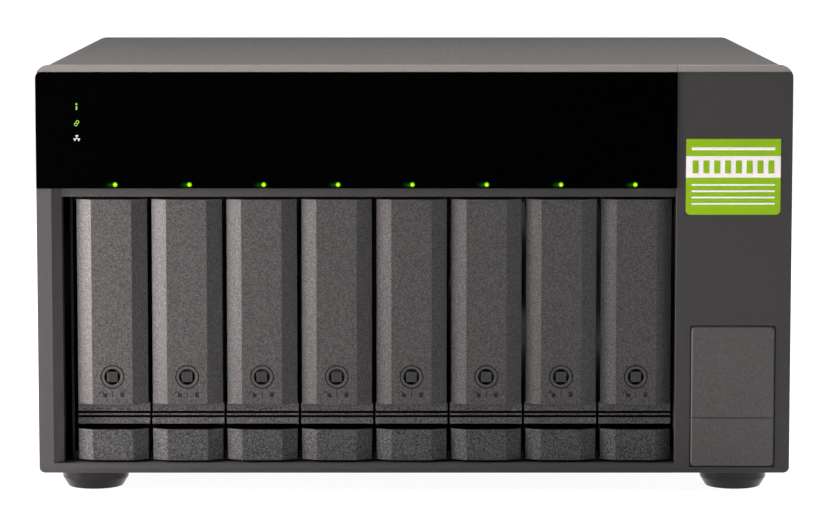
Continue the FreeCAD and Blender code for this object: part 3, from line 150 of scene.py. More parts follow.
def softened(node, radius, *materials, paint=None):
    """A copy of a CAD piece merged to clean faces, with small radii on its edges.

    paint(face) may choose another of the materials for a face."""
    solid = merged_copy(node)
    bmesh.ops.dissolve_limit(
        solid, angle_limit=FLAT_ANGLE, verts=solid.verts, edges=solid.edges)
    for face in solid.faces:
        face.smooth = True
        face.material_index = paint(face) if paint else 0
    mesh = as_mesh("finished_" + node, solid)
    # stored normals would keep the shading of the faces from before the radii
    for layer in [a for a in mesh.attributes if a.name == "custom_normal"]:
        mesh.attributes.remove(layer)
    piece = add_piece(mesh.name, mesh, *materials)
    edges = piece.modifiers.new("Edge radius", "BEVEL")
    edges.width = radius
    edges.segments = 2
    edges.limit_method = "ANGLE"
    edges.angle_limit = EDGE_ANGLE
    edges.harden_normals = True
    edges.use_clamp_overlap = True
    return baked(piece)


def ride_and_replace(piece, node, body):
    """Puts a piece on its body in place of a CAD node."""
    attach(piece, body)
    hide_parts(node)


def outline_plate(solid, points, y_front, thickness, material_index):
    """A flat plate facing -Y; its outline of (x, z) points is anticlockwise from the front."""
    front = [solid.verts.new((x, y_front, z)) for x, z in points]
    back = [solid.verts.new((x, y_front + thickness, z)) for x, z in points]
    faces = [solid.faces.new(front), solid.faces.new(back[::-1])]
    for i in range(len(points)):
        j = (i + 1) % len(points)
        faces.append(solid.faces.new((front[j], front[i], back[i], back[j])))
    for face in faces:
        face.material_index = material_index


def on_circle(centre, radius, degrees):
    """A point of a circle in the XZ plane, its angle from +X towards +Z."""
    angle = math.radians(degrees)
    return (centre[0] + radius * math.cos(angle), centre[1] + radius * math.sin(angle))


def arc_points(centre, radius, start, end, steps):
    """Points of an arc in the XZ plane, from one angle in degrees to another."""
    return [on_circle(centre, radius, start + (end - start) * i / steps)
            for i in range(steps + 1)]


def band_points(centre, radius, half_width, start, end, steps=12):
    """Outline of a stretch of a ring."""
    outer = arc_points(centre, radius + half_width, start, end, steps)
    inner = arc_points(centre, radius - half_width, start, end, steps)
    return outer + inner[::-1]


def box_points(x_low, x_high, z_low, z_high):
    return [(x_low, z_low), (x_high, z_low), (x_high, z_high), (x_low, z_high)]


def plate_piece(name, plates, y_front, thickness, *materials):
    """Several flat plates as one piece: each plate is (points, material index)."""
    solid = bmesh.new()
    for points, index in plates:
        outline_plate(solid, points, y_front, thickness, index)
    bmesh.ops.recalc_face_normals(solid, faces=solid.faces)
    return add_piece(name, as_mesh(name, solid), *materials)


def lathe(name, profile, centre, *materials):
    """A closed profile of (radius, y) points turned about a Y axis through centre (x, z)."""
    solid = bmesh.new()
    rings = []
    for i in range(TURNED_SIDES):
        angle = 2 * math.pi * i / TURNED_SIDES
        rings.append([solid.verts.new((centre[0] + r * math.cos(angle), y,
                                       centre[1] + r * math.sin(angle))) for r, y in profile])
    for i, ring in enumerate(rings):
        beside = rings[(i + 1) % TURNED_SIDES]
        for k in range(len(profile)):
            after = (k + 1) % len(profile)
            solid.faces.new((ring[k], beside[k], beside[after], ring[after]))
    bmesh.ops.recalc_face_normals(solid, faces=solid.faces)
    mesh = as_mesh(name, solid)
    mesh.shade_smooth()
    mesh.set_sharp_from_angle(angle=SHARP_ANGLE)
    return add_piece(name, mesh, *materials)


# ---------------------------------------------------------------- nodes

def new_tree(name, kind, inputs, outputs):
    """An empty node group with named sockets: (name, type, default) in, (name, type) out."""
    tree = bpy.data.node_groups.new(name, kind)
    for label, value_type, default in inputs:
        socket = tree.interface.new_socket(
            name=label, in_out="INPUT", socket_type="NodeSocket" + value_type)
        if default is not None:
            socket.default_value = default
    for label, value_type in outputs:
        tree.interface.new_socket(
            name=label, in_out="OUTPUT", socket_type="NodeSocket" + value_type)
    return tree


def set_inputs(tree, node, inputs):
    """Gives a node its inputs: one given a socket is linked, any other value is set."""
    for key, value in inputs.items():
        if isinstance(value, bpy.types.NodeSocket):
            tree.links.new(value, node.inputs[key])
        else:
            node.inputs[key].default_value = value
    return node


def add_node(tree, kind, inputs=None, **settings):
    made = tree.nodes.new(kind)
    for key, value in settings.items():
        setattr(made, key, value)
    return set_inputs(tree, made, inputs or {})


def maths(tree, operation, *values):
    made = add_node(tree, "ShaderNodeMath", dict(enumerate(values)), operation=operation)
    return made.outputs[0]


def about_zero(tree, noise, reach):
    """A noise value as a change up and down from zero, reach times as large."""
    return maths(tree, "MULTIPLY", maths(tree, "SUBTRACT", noise, 0.5), reach)


def blend_colours(tree, factor, one, other):
    """Colour one where factor is 0 and colour other where it is 1."""
    made = add_node(tree, "ShaderNodeMix", {0: factor, 6: one, 7: other}, data_type="RGBA")
    return made.outputs[2]


def object_place(tree):
    return add_node(tree, "ShaderNodeTexCoord").outputs["Object"]


def seen_directly(tree):
    """1 for what the camera sees, also by way of gloss or glass, and otherwise 0."""
    path = add_node(tree, "ShaderNodeLightPath").outputs
    return maths(tree, "MAXIMUM", path["Is Camera Ray"],
                 maths(tree, "MAXIMUM", path["Is Glossy Ray"], path["Is Transmission Ray"]))


def shared_group(name, build):
    """A node group that is built once and used again by all that name it."""
    return bpy.data.node_groups.get(name) or build(name)


def add_group(tree, name, build, inputs):
    """Places a shared group in a material's nodes, and gives its outputs."""
    made = add_node(tree, "ShaderNodeGroup", inputs, node_tree=shared_group(name, build))
    return made.outputs


# ---------------------------------------------------------------- effects shared by materials

SURFACE_OUTPUTS = [("Color", "Color"), ("Roughness", "Float"), ("Normal", "Vector")]


def end_effect(tree, colour, roughness, noise, change, strength, height):
    """Ends an effect: its colour, and roughness and bump that follow one noise."""
    uneven = maths(tree, "ADD", roughness, about_zero(tree, noise, change))
    bump = add_node(tree, "ShaderNodeBump", {
        "Strength": strength, "Distance": height, "Height": noise})
    add_node(tree, "NodeGroupOutput", {
        "Color": colour, "Roughness": uneven, "Normal": bump.outputs[0]})
    return tree


def build_grain(name):
    """Moulded or sprayed grain: flecks in the colour, and a fine uneven surface."""
    tree = new_tree(name, "ShaderNodeTree", [
        ("Color", "Color", (0.1, 0.1, 0.1, 1)),
        ("Fleck", "Color", (0.2, 0.2, 0.2, 1)),
        ("Fleck Size", "Float", 0.0005),
        ("Contrast", "Float", 0.5),
        ("Roughness", "Float", 0.5),
        ("Height", "Float", 0.00005),
    ], SURFACE_OUTPUTS)
    coarser = 0.6
    start = add_node(tree, "NodeGroupInput").outputs
    place = object_place(tree)
    scale = maths(tree, "DIVIDE", 1.0, start["Fleck Size"])
    flecks = add_node(tree, "ShaderNodeTexNoise", {
        "Vector": place, "Scale": scale, "Detail": 2.0, "Roughness": 0.65})
    spread = add_node(tree, "ShaderNodeMapRange", {
        "Value": flecks.outputs["Fac"], "From Min": 0.36, "From Max": 0.66})
    share = maths(tree, "MULTIPLY", spread.outputs[0], start["Contrast"])
    colour = blend_colours(tree, share, start["Color"], start["Fleck"])
    coarse = add_node(tree, "ShaderNodeTexNoise", {
        "Vector": place, "Scale": maths(tree, "MULTIPLY", scale, coarser), "Detail": 3.0,
        "Roughness": 0.6}).outputs["Fac"]
    return end_effect(tree, colour, start["Roughness"], coarse, change=0.25, strength=1.0,
                      height=start["Height"])


def build_tone(name):
    """Slow change of tone over a large surface, as of paint thickness and handling."""
    tree = new_tree(name, "ShaderNodeTree", [
        ("Color", "Color", (0.1, 0.1, 0.1, 1)),
        ("Patch Size", "Float", 0.05),
        ("Amount", "Float", 0.1),
    ], [("Color", "Color")])
    start = add_node(tree, "NodeGroupInput").outputs
    patches = add_node(tree, "ShaderNodeTexNoise", {
        "Vector": object_place(tree), "Scale": maths(tree, "DIVIDE", 1.0, start["Patch Size"]),
        "Detail": 3.0})
    change = about_zero(tree, patches.outputs["Fac"], start["Amount"])
    scaled = add_node(tree, "ShaderNodeVectorMath", {
        0: start["Color"], "Scale": maths(tree, "ADD", 1.0, change)}, operation="SCALE")
    add_node(tree, "NodeGroupOutput", {"Color": scaled.outputs[0]})
    return tree


def build_streaks(name):
    """Fine streaks of rolled or brushed metal along the X axis."""
    tree = new_tree(name, "ShaderNodeTree", [
        ("Color", "Color", (0.5, 0.5, 0.5, 1)),
        ("Roughness", "Float", 0.4),
        ("Streak", "Float", 0.0006),
    ], SURFACE_OUTPUTS)
    streak_stretch = (0.04, 1.0, 1.0)
    dark_share = 0.75
    start = add_node(tree, "NodeGroupInput").outputs
    stretched = add_node(tree, "ShaderNodeMapping", {
        "Vector": object_place(tree), "Scale": streak_stretch})
    noise = add_node(tree, "ShaderNodeTexNoise", {
        "Vector": stretched.outputs[0], "Scale": maths(tree, "DIVIDE", 1.0, start["Streak"]),
        "Detail": 2.0}).outputs["Fac"]
    dark = blend_colours(tree, dark_share, (0, 0, 0, 1), start["Color"])
    colour = blend_colours(tree, noise, dark, start["Color"])
    return end_effect(tree, colour, start["Roughness"], noise, change=0.3, strength=0.4,
                      height=0.02 * MM)


# ---------------------------------------------------------------- finishes

def new_material(name, values):
    """A material with values set on its Principled shader: (material, tree, shader)."""
    material = bpy.data.materials.new(name)
    material.use_nodes = True
    tree = material.node_tree
    return material, tree, set_inputs(tree, tree.nodes["Principled BSDF"], values)


def feed_shader(tree, effect, shader):
    """Links an effect's colour, roughness and normal to the shader."""
    set_inputs(tree, shader, {"Base Color": effect["Color"], "Roughness": effect["Roughness"],
                              "Normal": effect["Normal"]})


def grained(name, colour, fleck, fleck_size, contrast, roughness, height, specular, tone):
    """A grained plastic, paint or film, with slow changes of tone over the whole piece."""
    material, tree, shader = new_material(name, {"Specular IOR Level": specular})
    patches = add_group(tree, "Tone", build_tone, {"Color": (*colour, 1), "Amount": tone})
    feed_shader(tree, add_group(tree, "Grain", build_grain, {
        "Color": patches["Color"], "Fleck": (*fleck, 1), "Fleck Size": fleck_size * MM,
        "Contrast": contrast, "Roughness": roughness, "Height": height * MM}), shader)
    return material


def metal(name, colour, roughness):
    """Rolled, brushed or turned metal."""
    material, tree, shader = new_material(name, {"Metallic": 1.0})
    feed_shader(tree, add_group(tree, "Streaks", build_streaks, {
        "Color": (*colour, 1), "Roughness": roughness}), shader)
    return material


def printed(name, colour, specular):
    """Printed ink or label film; Groove shade is made the same way as painted shade."""
    fleck = tuple(min(1.0, channel * 1.2) for channel in colour)
    return grained(name, colour, fleck, 0.4, 0.3, 0.4, 0.004, specular, 0.04)


def sign_light(name, colour):
    """Printed sign lit from behind, a little uneven."""
    material, tree, shader = new_material(name, {
        "Base Color": (0.01, 0.01, 0.01, 1), "Specular IOR Level": 0.1,
        "Emission Strength": 1.0})
    patches = add_group(tree, "Tone", build_tone, {
        "Color": (*colour, 1), "Patch Size": 2 * MM, "Amount": 0.25})
    set_inputs(tree, shader, {"Emission Color": patches["Color"]})
    return material


def clear_plastic(name):
    material, tree, shader = new_material(name, {
        "Base Color": (0.75, 0.9, 0.78, 1), "Transmission Weight": 0.8})
    grain = add_group(tree, "Grain", build_grain, {"Roughness": 0.2})
    set_inputs(tree, shader, {"Roughness": grain["Roughness"]})
    return material


def window_black(name):
    """Polished black window; the lamps shine through it as soft spots."""
    material, tree, shader = new_material(name, {
        "Specular IOR Level": 0.004, "Roughness": 0.12, "Emission Strength": 1.0})
    glow_colour = (0.004, 0.085, 0.0, 1)
    patches = add_group(tree, "Tone", build_tone, {
        "Color": (0.0003, 0.0003, 0.0004, 1), "Amount": 0.3})
    axes = add_node(tree, "ShaderNodeSeparateXYZ", {"Vector": object_place(tree)}).outputs
    size = bpy.context.scene.shelf_sizes
    half = size.lamp_spacing / 2
    first_x, lamp_z = first_lamp()
    row_start = first_x - size.glow_shift - half
    row_end = row_start + size.lamp_spacing * BAYS
    wrapped = maths(tree, "FLOORED_MODULO", maths(tree, "SUBTRACT", axes["X"], row_start),
                    size.lamp_spacing)
    along = maths(tree, "DIVIDE", maths(tree, "SUBTRACT", wrapped, half), size.glow_width)
    rise = maths(tree, "DIVIDE", maths(tree, "SUBTRACT", axes["Z"], lamp_z), size.glow_height)
    far = maths(tree, "ADD", maths(tree, "MULTIPLY", along, along),
                maths(tree, "MULTIPLY", rise, rise))
    glow = maths(tree, "EXPONENT", maths(tree, "MULTIPLY", far, -1.0))
    in_row = maths(tree, "MULTIPLY", maths(tree, "GREATER_THAN", axes["X"], row_start),
                   maths(tree, "LESS_THAN", axes["X"], row_end))
    shine = blend_colours(tree, maths(tree, "MULTIPLY", glow, in_row), (0, 0, 0, 1), glow_colour)
    set_inputs(tree, shader, {"Base Color": patches["Color"], "Emission Color": shine})
    return material


def lamp_light(name):
    """Lit lens of a drive lamp: yellow in the middle, green towards its rim."""
    material, tree, shader = new_material(name, {
        "Base Color": (0.02, 0.1, 0.0, 1), "Specular IOR Level": 0.1, "Roughness": 0.25,
        "Emission Strength": 1.0})
    rim, heart = (0.05, 0.4, 0.0, 1), (1.3, 1.15, 0.0, 1)
    heart_falloff = 2.5
    share = add_node(tree, "ShaderNodeAttribute", attribute_name="lens_share").outputs["Fac"]
    colour = blend_colours(tree, maths(tree, "POWER", share, heart_falloff), rim, heart)
    set_inputs(tree, shader, {"Emission Color": colour})
    return material


def grey(value, warm=0.0):
    """A grey from its display value 0-255, a little warmer or cooler."""
    linear = (value / 255.0) ** 2.2
    return (linear * (1 + warm), linear, linear * (1 - warm))


GRAINED = {
    # colour, flecks, their size in mm, contrast, roughness, grain height in mm,
    # specular level, change of tone
    "Cover paint": (grey(20, 0.05), grey(54, 0.05), 1.1, 0.7, 0.62, 0.15, 0.09, 0.12),
    # black coat of the drive cage, made this dark partly as painted shade for the gaps beside
    # the trays
    "Black steel": (grey(22), grey(34), 0.7, 0.4, 0.6, 0.04, 0.2, 0.12),
    "Bezel plastic": (grey(57), grey(71), 0.4, 0.45, 0.45, 0.01, 0.15, 0.05),
    # lighter than the bezel plastic, as a painted highlight of the light from above the front
    "Upper edge painted highlight": (grey(69, 0.04), grey(87, 0.05), 0.4, 0.45, 0.4, 0.01, 0.2, 0.05),
    "Blank cover plastic": (grey(70), grey(100), 0.5, 0.5, 0.45, 0.01, 0.15, 0.06),
    "Tray plastic": (grey(49, -0.01), grey(94), 0.6, 0.6, 0.36, 0.05, 0.15, 0.12),
    "Release bar plastic": (grey(56), grey(145), 0.6, 0.5, 0.42, 0.05, 0.15, 0.12),
    "Tray foot plastic": (grey(35, -0.04), grey(98, -0.04), 0.7, 0.6, 0.36, 0.05, 0.15, 0.12),
    "Foot plastic": (grey(16), grey(26), 0.8, 0.3, 0.2, 0.005, 0.3, 0.12),
    "Black plastic": (grey(26), grey(46), 0.6, 0.4, 0.5, 0.02, 0.2, 0.12),
    "Lock metal": (grey(30), grey(50), 0.5, 0.5, 0.3, 0.01, 0.35, 0.12),
    "Lock ring": (grey(58, 0.02), grey(84, 0.02), 0.4, 0.5, 0.45, 0.01, 0.15, 0.12),
    "Board lacquer": ((0.012, 0.07, 0.03), (0.03, 0.12, 0.06), 1.2, 0.5, 0.35, 0.02, 0.5, 0.12),
}

FINISHES = (
    # how it is made, and the values of each finish made so
    (grained, GRAINED),
    (metal, {"Plated steel": (grey(190), 0.38), "Aluminium": (grey(205), 0.42),
             "Brass": ((0.62, 0.42, 0.16), 0.3)}),
    # Groove shade is painted shade: near-black on grooves, under the finger slots and round the
    # locks
    (printed, {"Groove shade": (grey(5), 0.02), "Sign ink": (grey(34, -0.1), 0.1),
               "Label green": ((0.251, 0.477, 0.012), 0.1),
               "Label white": ((0.88, 0.87, 0.88), 0.1)}),
    (sign_light, {"Green sign": ((0.42, 0.78, 0.10),), "White sign": ((0.8, 0.8, 0.8),)}),
    (clear_plastic, {"Clear plastic": ()}),
    (window_black, {"Window black": ()}),
    (lamp_light, {"Lamp light": ()}),
)


def finish(name):
    """A finish by its name, made the first time that it is asked for."""
    material = bpy.data.materials.get(name)
    for make, values in FINISHES:
        if material is None and name in values:
            material = make(name, *values[name])
    if material is None:
        raise RuntimeError("there is no finish named " + name)
    return material


# finishes of the CAD pieces that stay as they are
CARRIED_OVER = {
    "Cover paint": ("base_pan", "rear_panel"),
    "Black steel": ("drive_cage",),
    "Clear plastic": ("light_guides",),
    "Board lacquer": ("indicator_board", "backplane", "control_board"),
    "Black plastic": ("tray_guides", "drive_connectors", "fan_frames", "power_inlet",
                      "control_housings", "fan_rotor_left", "fan_rotor_right",
                      "psu_fan_rotor"),
    "Plated steel": ("power_supply", "usb_c_port", "cover_screws"),
    "Brass": ("board_standoffs",),
    "Aluminium": ("controller_heatsink",),
}

SOFTENED = {
    # node: (finish, record slot, edge radius)
    "outer_cover": ("Cover paint", "coated_steel", 0.25 * MM),
    "front_bezel": ("Bezel plastic", "bezel_plastic", 0.25 * MM),
    "side_column": ("Bezel plastic", "bezel_plastic", 0.25 * MM),
    "blank_cover": ("Blank cover plastic", "bezel_plastic", 0.15 * MM),
    "display_panel": ("Window black", "gloss_panel", 0.25 * MM),
    "feet": ("Foot plastic", "foot_plastic", 0.4 * MM),
    "power_button": ("Black plastic", "black_plastic", 0.5 * MM),
    "fan_speed_dial": ("Black plastic", "black_plastic", 0.3 * MM),
}


# ---------------------------------------------------------------- geometry trees

def geometry_tree(name, inputs):
    """An empty geometry tree with its own inputs between Geometry and Material."""
    return new_tree(name, "GeometryNodeTree", [
        ("Geometry", "Geometry", None), *inputs,
        ("Material", "Material", None)], [("Geometry", "Geometry")])


def end_tree(tree, copies, material):
    """Ends a geometry tree: the copies made real, with their material."""
    real = add_node(tree, "GeometryNodeRealizeInstances", {"Geometry": copies})
    painted = add_node(tree, "GeometryNodeSetMaterial", {
        "Geometry": real.outputs[0], "Material": material})
    add_node(tree, "NodeGroupOutput", {"Geometry": painted.outputs[0]})
    return tree


def build_lamp_row(name):
    """A row of flat lens caps. The attribute lens_share is 1 in a cap's middle, 0 at its rim."""
    tree = geometry_tree(name, [
        ("Start", "Vector", (0, 0, 0)),
        ("Spacing", "Float", 0.03),
        ("Count", "Int", 8),
        ("Radius", "Float", 0.001),
        ("Bulge", "Float", 0.3)])
    start = add_node(tree, "NodeGroupInput").outputs
    step = add_node(tree, "ShaderNodeCombineXYZ", {"X": start["Spacing"]})
    line = add_node(tree, "GeometryNodeMeshLine", {
        "Count": start["Count"], "Start Location": start["Start"], "Offset": step.outputs[0]})
    ball = add_node(tree, "GeometryNodeMeshUVSphere", {
        "Segments": 20, "Rings": 10, "Radius": start["Radius"]})
    place = add_node(tree, "GeometryNodeInputPosition").outputs[0]
    flat = add_node(tree, "ShaderNodeVectorMath", {0: place, 1: (1, 0, 1)},
                    operation="MULTIPLY")
    away = add_node(tree, "ShaderNodeVectorMath", {0: flat.outputs[0]}, operation="LENGTH")
    outwards = maths(tree, "DIVIDE", away.outputs["Value"], start["Radius"])
    share = maths(tree, "SUBTRACT", 1.0, maths(tree, "MULTIPLY", outwards, outwards))
    stored = add_node(tree, "GeometryNodeStoreNamedAttribute", {
        "Geometry": ball.outputs[0], "Name": "lens_share", "Value": share}, data_type="FLOAT")
    squeeze = add_node(tree, "ShaderNodeCombineXYZ", {"X": 1.0, "Y": start["Bulge"], "Z": 1.0})
    lens = add_node(tree, "GeometryNodeTransform", {
        "Geometry": stored.outputs[0], "Scale": squeeze.outputs[0]})
    copies = add_node(tree, "GeometryNodeInstanceOnPoints", {
        "Points": line.outputs[0], "Instance": lens.outputs[0]})
    return end_tree(tree, copies.outputs[0], start["Material"])


def build_bar_row(name):
    """A row of flat bars of one size."""
    tree = geometry_tree(name, [
        ("Start", "Vector", (0, 0, 0)),
        ("Step", "Vector", (0.005, 0, 0)),
        ("Count", "Int", 8),
        ("Size", "Vector", (0.002, 0.0001, 0.005))])
    start = add_node(tree, "NodeGroupInput").outputs
    line = add_node(tree, "GeometryNodeMeshLine", {
        "Count": start["Count"], "Start Location": start["Start"], "Offset": start["Step"]})
    bar = add_node(tree, "GeometryNodeMeshCube", {"Size": start["Size"]})
    copies = add_node(tree, "GeometryNodeInstanceOnPoints", {
        "Points": line.outputs[0], "Instance": bar.outputs[0]})
    return end_tree(tree, copies.outputs[0], start["Material"])


def build_rib_ring(name):
    """Grip ribs round a knob that turns about a Y axis."""
    tree = geometry_tree(name, [
        ("Centre", "Vector", (0, 0, 0)),
        ("Count", "Int", 24),
        ("Radius", "Float", 0.007),
        ("Size", "Vector", (0.0005, 0.0008, 0.002))])
    start = add_node(tree, "NodeGroupInput").outputs
    ring = add_node(tree, "GeometryNodeMeshCircle", {
        "Vertices": start["Count"], "Radius": start["Radius"]})
    rib = add_node(tree, "GeometryNodeMeshCube", {"Size": start["Size"]})
    place = add_node(tree, "GeometryNodeInputPosition").outputs[0]
    outwards = add_node(tree, "FunctionNodeAlignRotationToVector", {"Vector": place}, axis="X")
    copies = add_node(tree, "GeometryNodeInstanceOnPoints", {
        "Points": ring.outputs[0], "Instance": rib.outputs[0], "Rotation": outwards.outputs[0]})
    upright = add_node(tree, "GeometryNodeTransform", {
        "Geometry": copies.outputs[0], "Translation": start["Centre"],
        "Rotation": (math.pi / 2, 0, 0)})
    return end_tree(tree, upright.outputs[0], start["Material"])


def build_screw_heads(name):
    """Round screw heads with a crossed recess at the points of a mesh, facing +Y."""
    tree = geometry_tree(name, [
        ("Radius", "Float", 0.003),
        ("Height", "Float", 0.002),
        ("Recess", "Float", 0.0008)])
    crown, cross_length, cross_width = 0.8, 1.25, 0.26  # shares of the head's radius
    start = add_node(tree, "NodeGroupInput").outputs
    head = add_node(tree, "GeometryNodeMeshCone", {
        "Vertices": 28, "Side Segments": 1, "Fill Segments": 1,
        "Radius Bottom": start["Radius"],
        "Radius Top": maths(tree, "MULTIPLY", start["Radius"], crown),
        "Depth": start["Height"]})
    long_side = maths(tree, "MULTIPLY", start["Radius"], cross_length)
    short_side = maths(tree, "MULTIPLY", start["Radius"], cross_width)
    cut = add_node(tree, "GeometryNodeMeshBoolean", {0: head.outputs[0]},
                   operation="DIFFERENCE")
    for wide, tall in ((long_side, short_side), (short_side, long_side)):
        size = add_node(tree, "ShaderNodeCombineXYZ", {
            "X": wide, "Y": tall, "Z": maths(tree, "MULTIPLY", start["Recess"], 2.0)})
        block = add_node(tree, "GeometryNodeMeshCube", {"Size": size.outputs[0]})
        lift = add_node(tree, "ShaderNodeCombineXYZ", {"Z": start["Height"]})
        tool = add_node(tree, "GeometryNodeTransform", {
            "Geometry": block.outputs[0], "Translation": lift.outputs[0]})
        tree.links.new(tool.outputs[0], cut.inputs[1])
    turn = add_node(tree, "GeometryNodeTransform", {
        "Geometry": cut.outputs[0], "Rotation": (-math.pi / 2, 0, 0)})
    copies = add_node(tree, "GeometryNodeInstanceOnPoints", {
        "Points": start["Geometry"], "Instance": turn.outputs[0]})
    return end_tree(tree, copies.outputs[0], start["Material"])


def grown(name, tree, points=(), **inputs):
    """A piece made by a geometry tree with its inputs set, as a plain mesh.

    points are the places that the tree reads as its Geometry."""
    mesh = bpy.data.meshes.new(name)
    mesh.from_pydata(points, [], [])
    piece = add_piece(name, mesh)
    maker = piece.modifiers.new(tree.name, "NODES")
    maker.node_group = tree
    for socket in tree.interface.items_tree:
        key = socket.name.lower().replace(" ", "_")
        if socket.in_out == "INPUT" and key in inputs:
            maker[socket.identifier] = inputs.pop(key)
    if inputs:
        raise RuntimeError("%s has no input named %s" % (tree.name, sorted(inputs)))
    return baked(piece)


# ---------------------------------------------------------------- settings

class ShelfSizes(bpy.types.PropertyGroup):
    """Sizes of the small pieces."""

    tray_edge: FloatProperty(
        name="Tray edge", description="Radius on the edges of the tray fronts",
        default=0.2 * MM, unit="LENGTH", precision=5)
    lamp_spacing: FloatProperty(
        name="Lamp spacing", description="Drive lamp to drive lamp",
        default=(GUIDES_HIGH.x - GUIDES_LOW.x - 2 * PAST_END_LAMP) / (BAYS - 1),
        unit="LENGTH", precision=5)
    lamp_radius: FloatProperty(
        name="Lamp radius", description="Radius of a drive lamp's lens",
        default=1.05 * MM, unit="LENGTH", precision=5)
    glow_width: FloatProperty(
        name="Glow width", description="Reach of the glow along the window",
        default=1.7 * MM, unit="LENGTH", precision=5)
    glow_height: FloatProperty(
        name="Glow height", description="Reach of the glow up the window",
        default=0.75 * MM, unit="LENGTH", precision=5)
    glow_shift: FloatProperty(
        name="Glow shift", description="Glow to the left of its lamp",
        default=1.0 * MM, unit="LENGTH", precision=5)
    ring_radius: FloatProperty(
        name="Lock ring", description="Outer radius of the ring round a lock",
        default=4.85 * MM, unit="LENGTH", precision=5)
    # the dark line round the ring is painted shade of its groove
    ring_line: FloatProperty(
        name="Ring line", description="Width of the dark line round the ring",
        default=0.35 * MM, unit="LENGTH", precision=5)
    screw_radius: FloatProperty(
        name="Screw radius", description="Radius of a cover screw's head",
        default=3.2 * MM, unit="LENGTH", precision=5)


class ShelfLights(bpy.types.PropertyGroup):
    """Levels of the studio."""

    key: FloatProperty(
        name="Key", description="Narrow soft box close to the front's left edge, in watts",
        default=4.9, min=0.0)
    fill: FloatProperty(
        name="Fill", description="Soft box in front on the left, in watts", default=0.9, min=0.0)
    top: FloatProperty(
        name="Top", description="Soft box over the front edge, in watts", default=2.6, min=0.0)
    right: FloatProperty(
        name="Right", description="Soft box at the right, in watts", default=0.5, min=0.0)
    rear: FloatProperty(
        name="Rear", description="Each of two soft boxes behind the case, in watts",
        default=24.0, min=0.0)
    ambient: FloatProperty(name="Ambient", description="Level of the white room",
                           default=0.08, min=0.0)


# ---------------------------------------------------------------- operators

class DISKSHELF_OT_carried_over(bpy.types.Operator):
    """Gives the inner and rear pieces their finishes"""

    bl_idname = "diskshelf.carried_over"
    bl_label = "Inner and rear finishes"

    def execute(self, context):
        for name, nodes in CARRIED_OVER.items():
            for node in nodes:
                for slot in NODES[node].material_slots:
                    slot.material = finish(name)
        return {"FINISHED"}


class DISKSHELF_OT_case(bpy.types.Operator):
    """Finishes the case, front mouldings, window and feet with radii on their edges"""

    bl_idname = "diskshelf.case"
    bl_label = "Case and front"

    def execute(self, context):
        for node, (name, slot, radius) in SOFTENED.items():
            if name == "Bezel plastic":
                piece = softened(node, radius, finish(name), finish("Upper edge painted highlight"),
                                 paint=self.painted_highlight_edge)
            else:
                piece = softened(node, radius, finish(name))
            ride_and_replace(piece, node, node if node in frame["bodies"] else "root")
        return {"FINISHED"}

    def painted_highlight_edge(self, face):
        """The sloping edge along the top of the front, which is smoother, and lighter as a
        painted highlight of the light from above.
        """
        return int(face.normal.z > 0.3 and face.normal.y < -0.3)


class DISKSHELF_OT_trays(bpy.types.Operator):
    """Finishes the eight tray fronts: handle, release bar and fixed foot plate"""

    bl_idname = "diskshelf.trays"
    bl_label = "Tray fronts"

    def execute(self, context):
        edge = context.scene.shelf_sizes.tray_edge
        shade_depth = 3 * MM
        for number in range(1, BAYS + 1):
            tray = "tray_%d" % number
            handle = "tray_handle_%d" % number
            bar = "release_button_%d" % number
            ride_and_replace(softened(handle, edge, finish("Tray plastic")),
                             handle, handle)
            shade = finish("Groove shade")
            ride_and_replace(
                softened(bar, edge, finish("Release bar plastic"), shade, paint=self.groove),
                bar, bar)
            slot_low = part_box(bar)[0].z

            def under_slot(face):
                """The lower plate's upper side, which lies in the shade of the finger slot."""
                rise = face.calc_center_median().z
                return int(face.normal.z > 0.9 and slot_low - shade_depth < rise < slot_low)

            ride_and_replace(
                softened(tray, edge, finish("Tray foot plastic"), shade, paint=under_slot),
                tray, tray)
        return {"FINISHED"}

    def groove(self, face):
        """Everything but the bar's leaning front faces is in shade."""
        return int(face.normal.y > -0.9 or face.normal.z < 0.05)


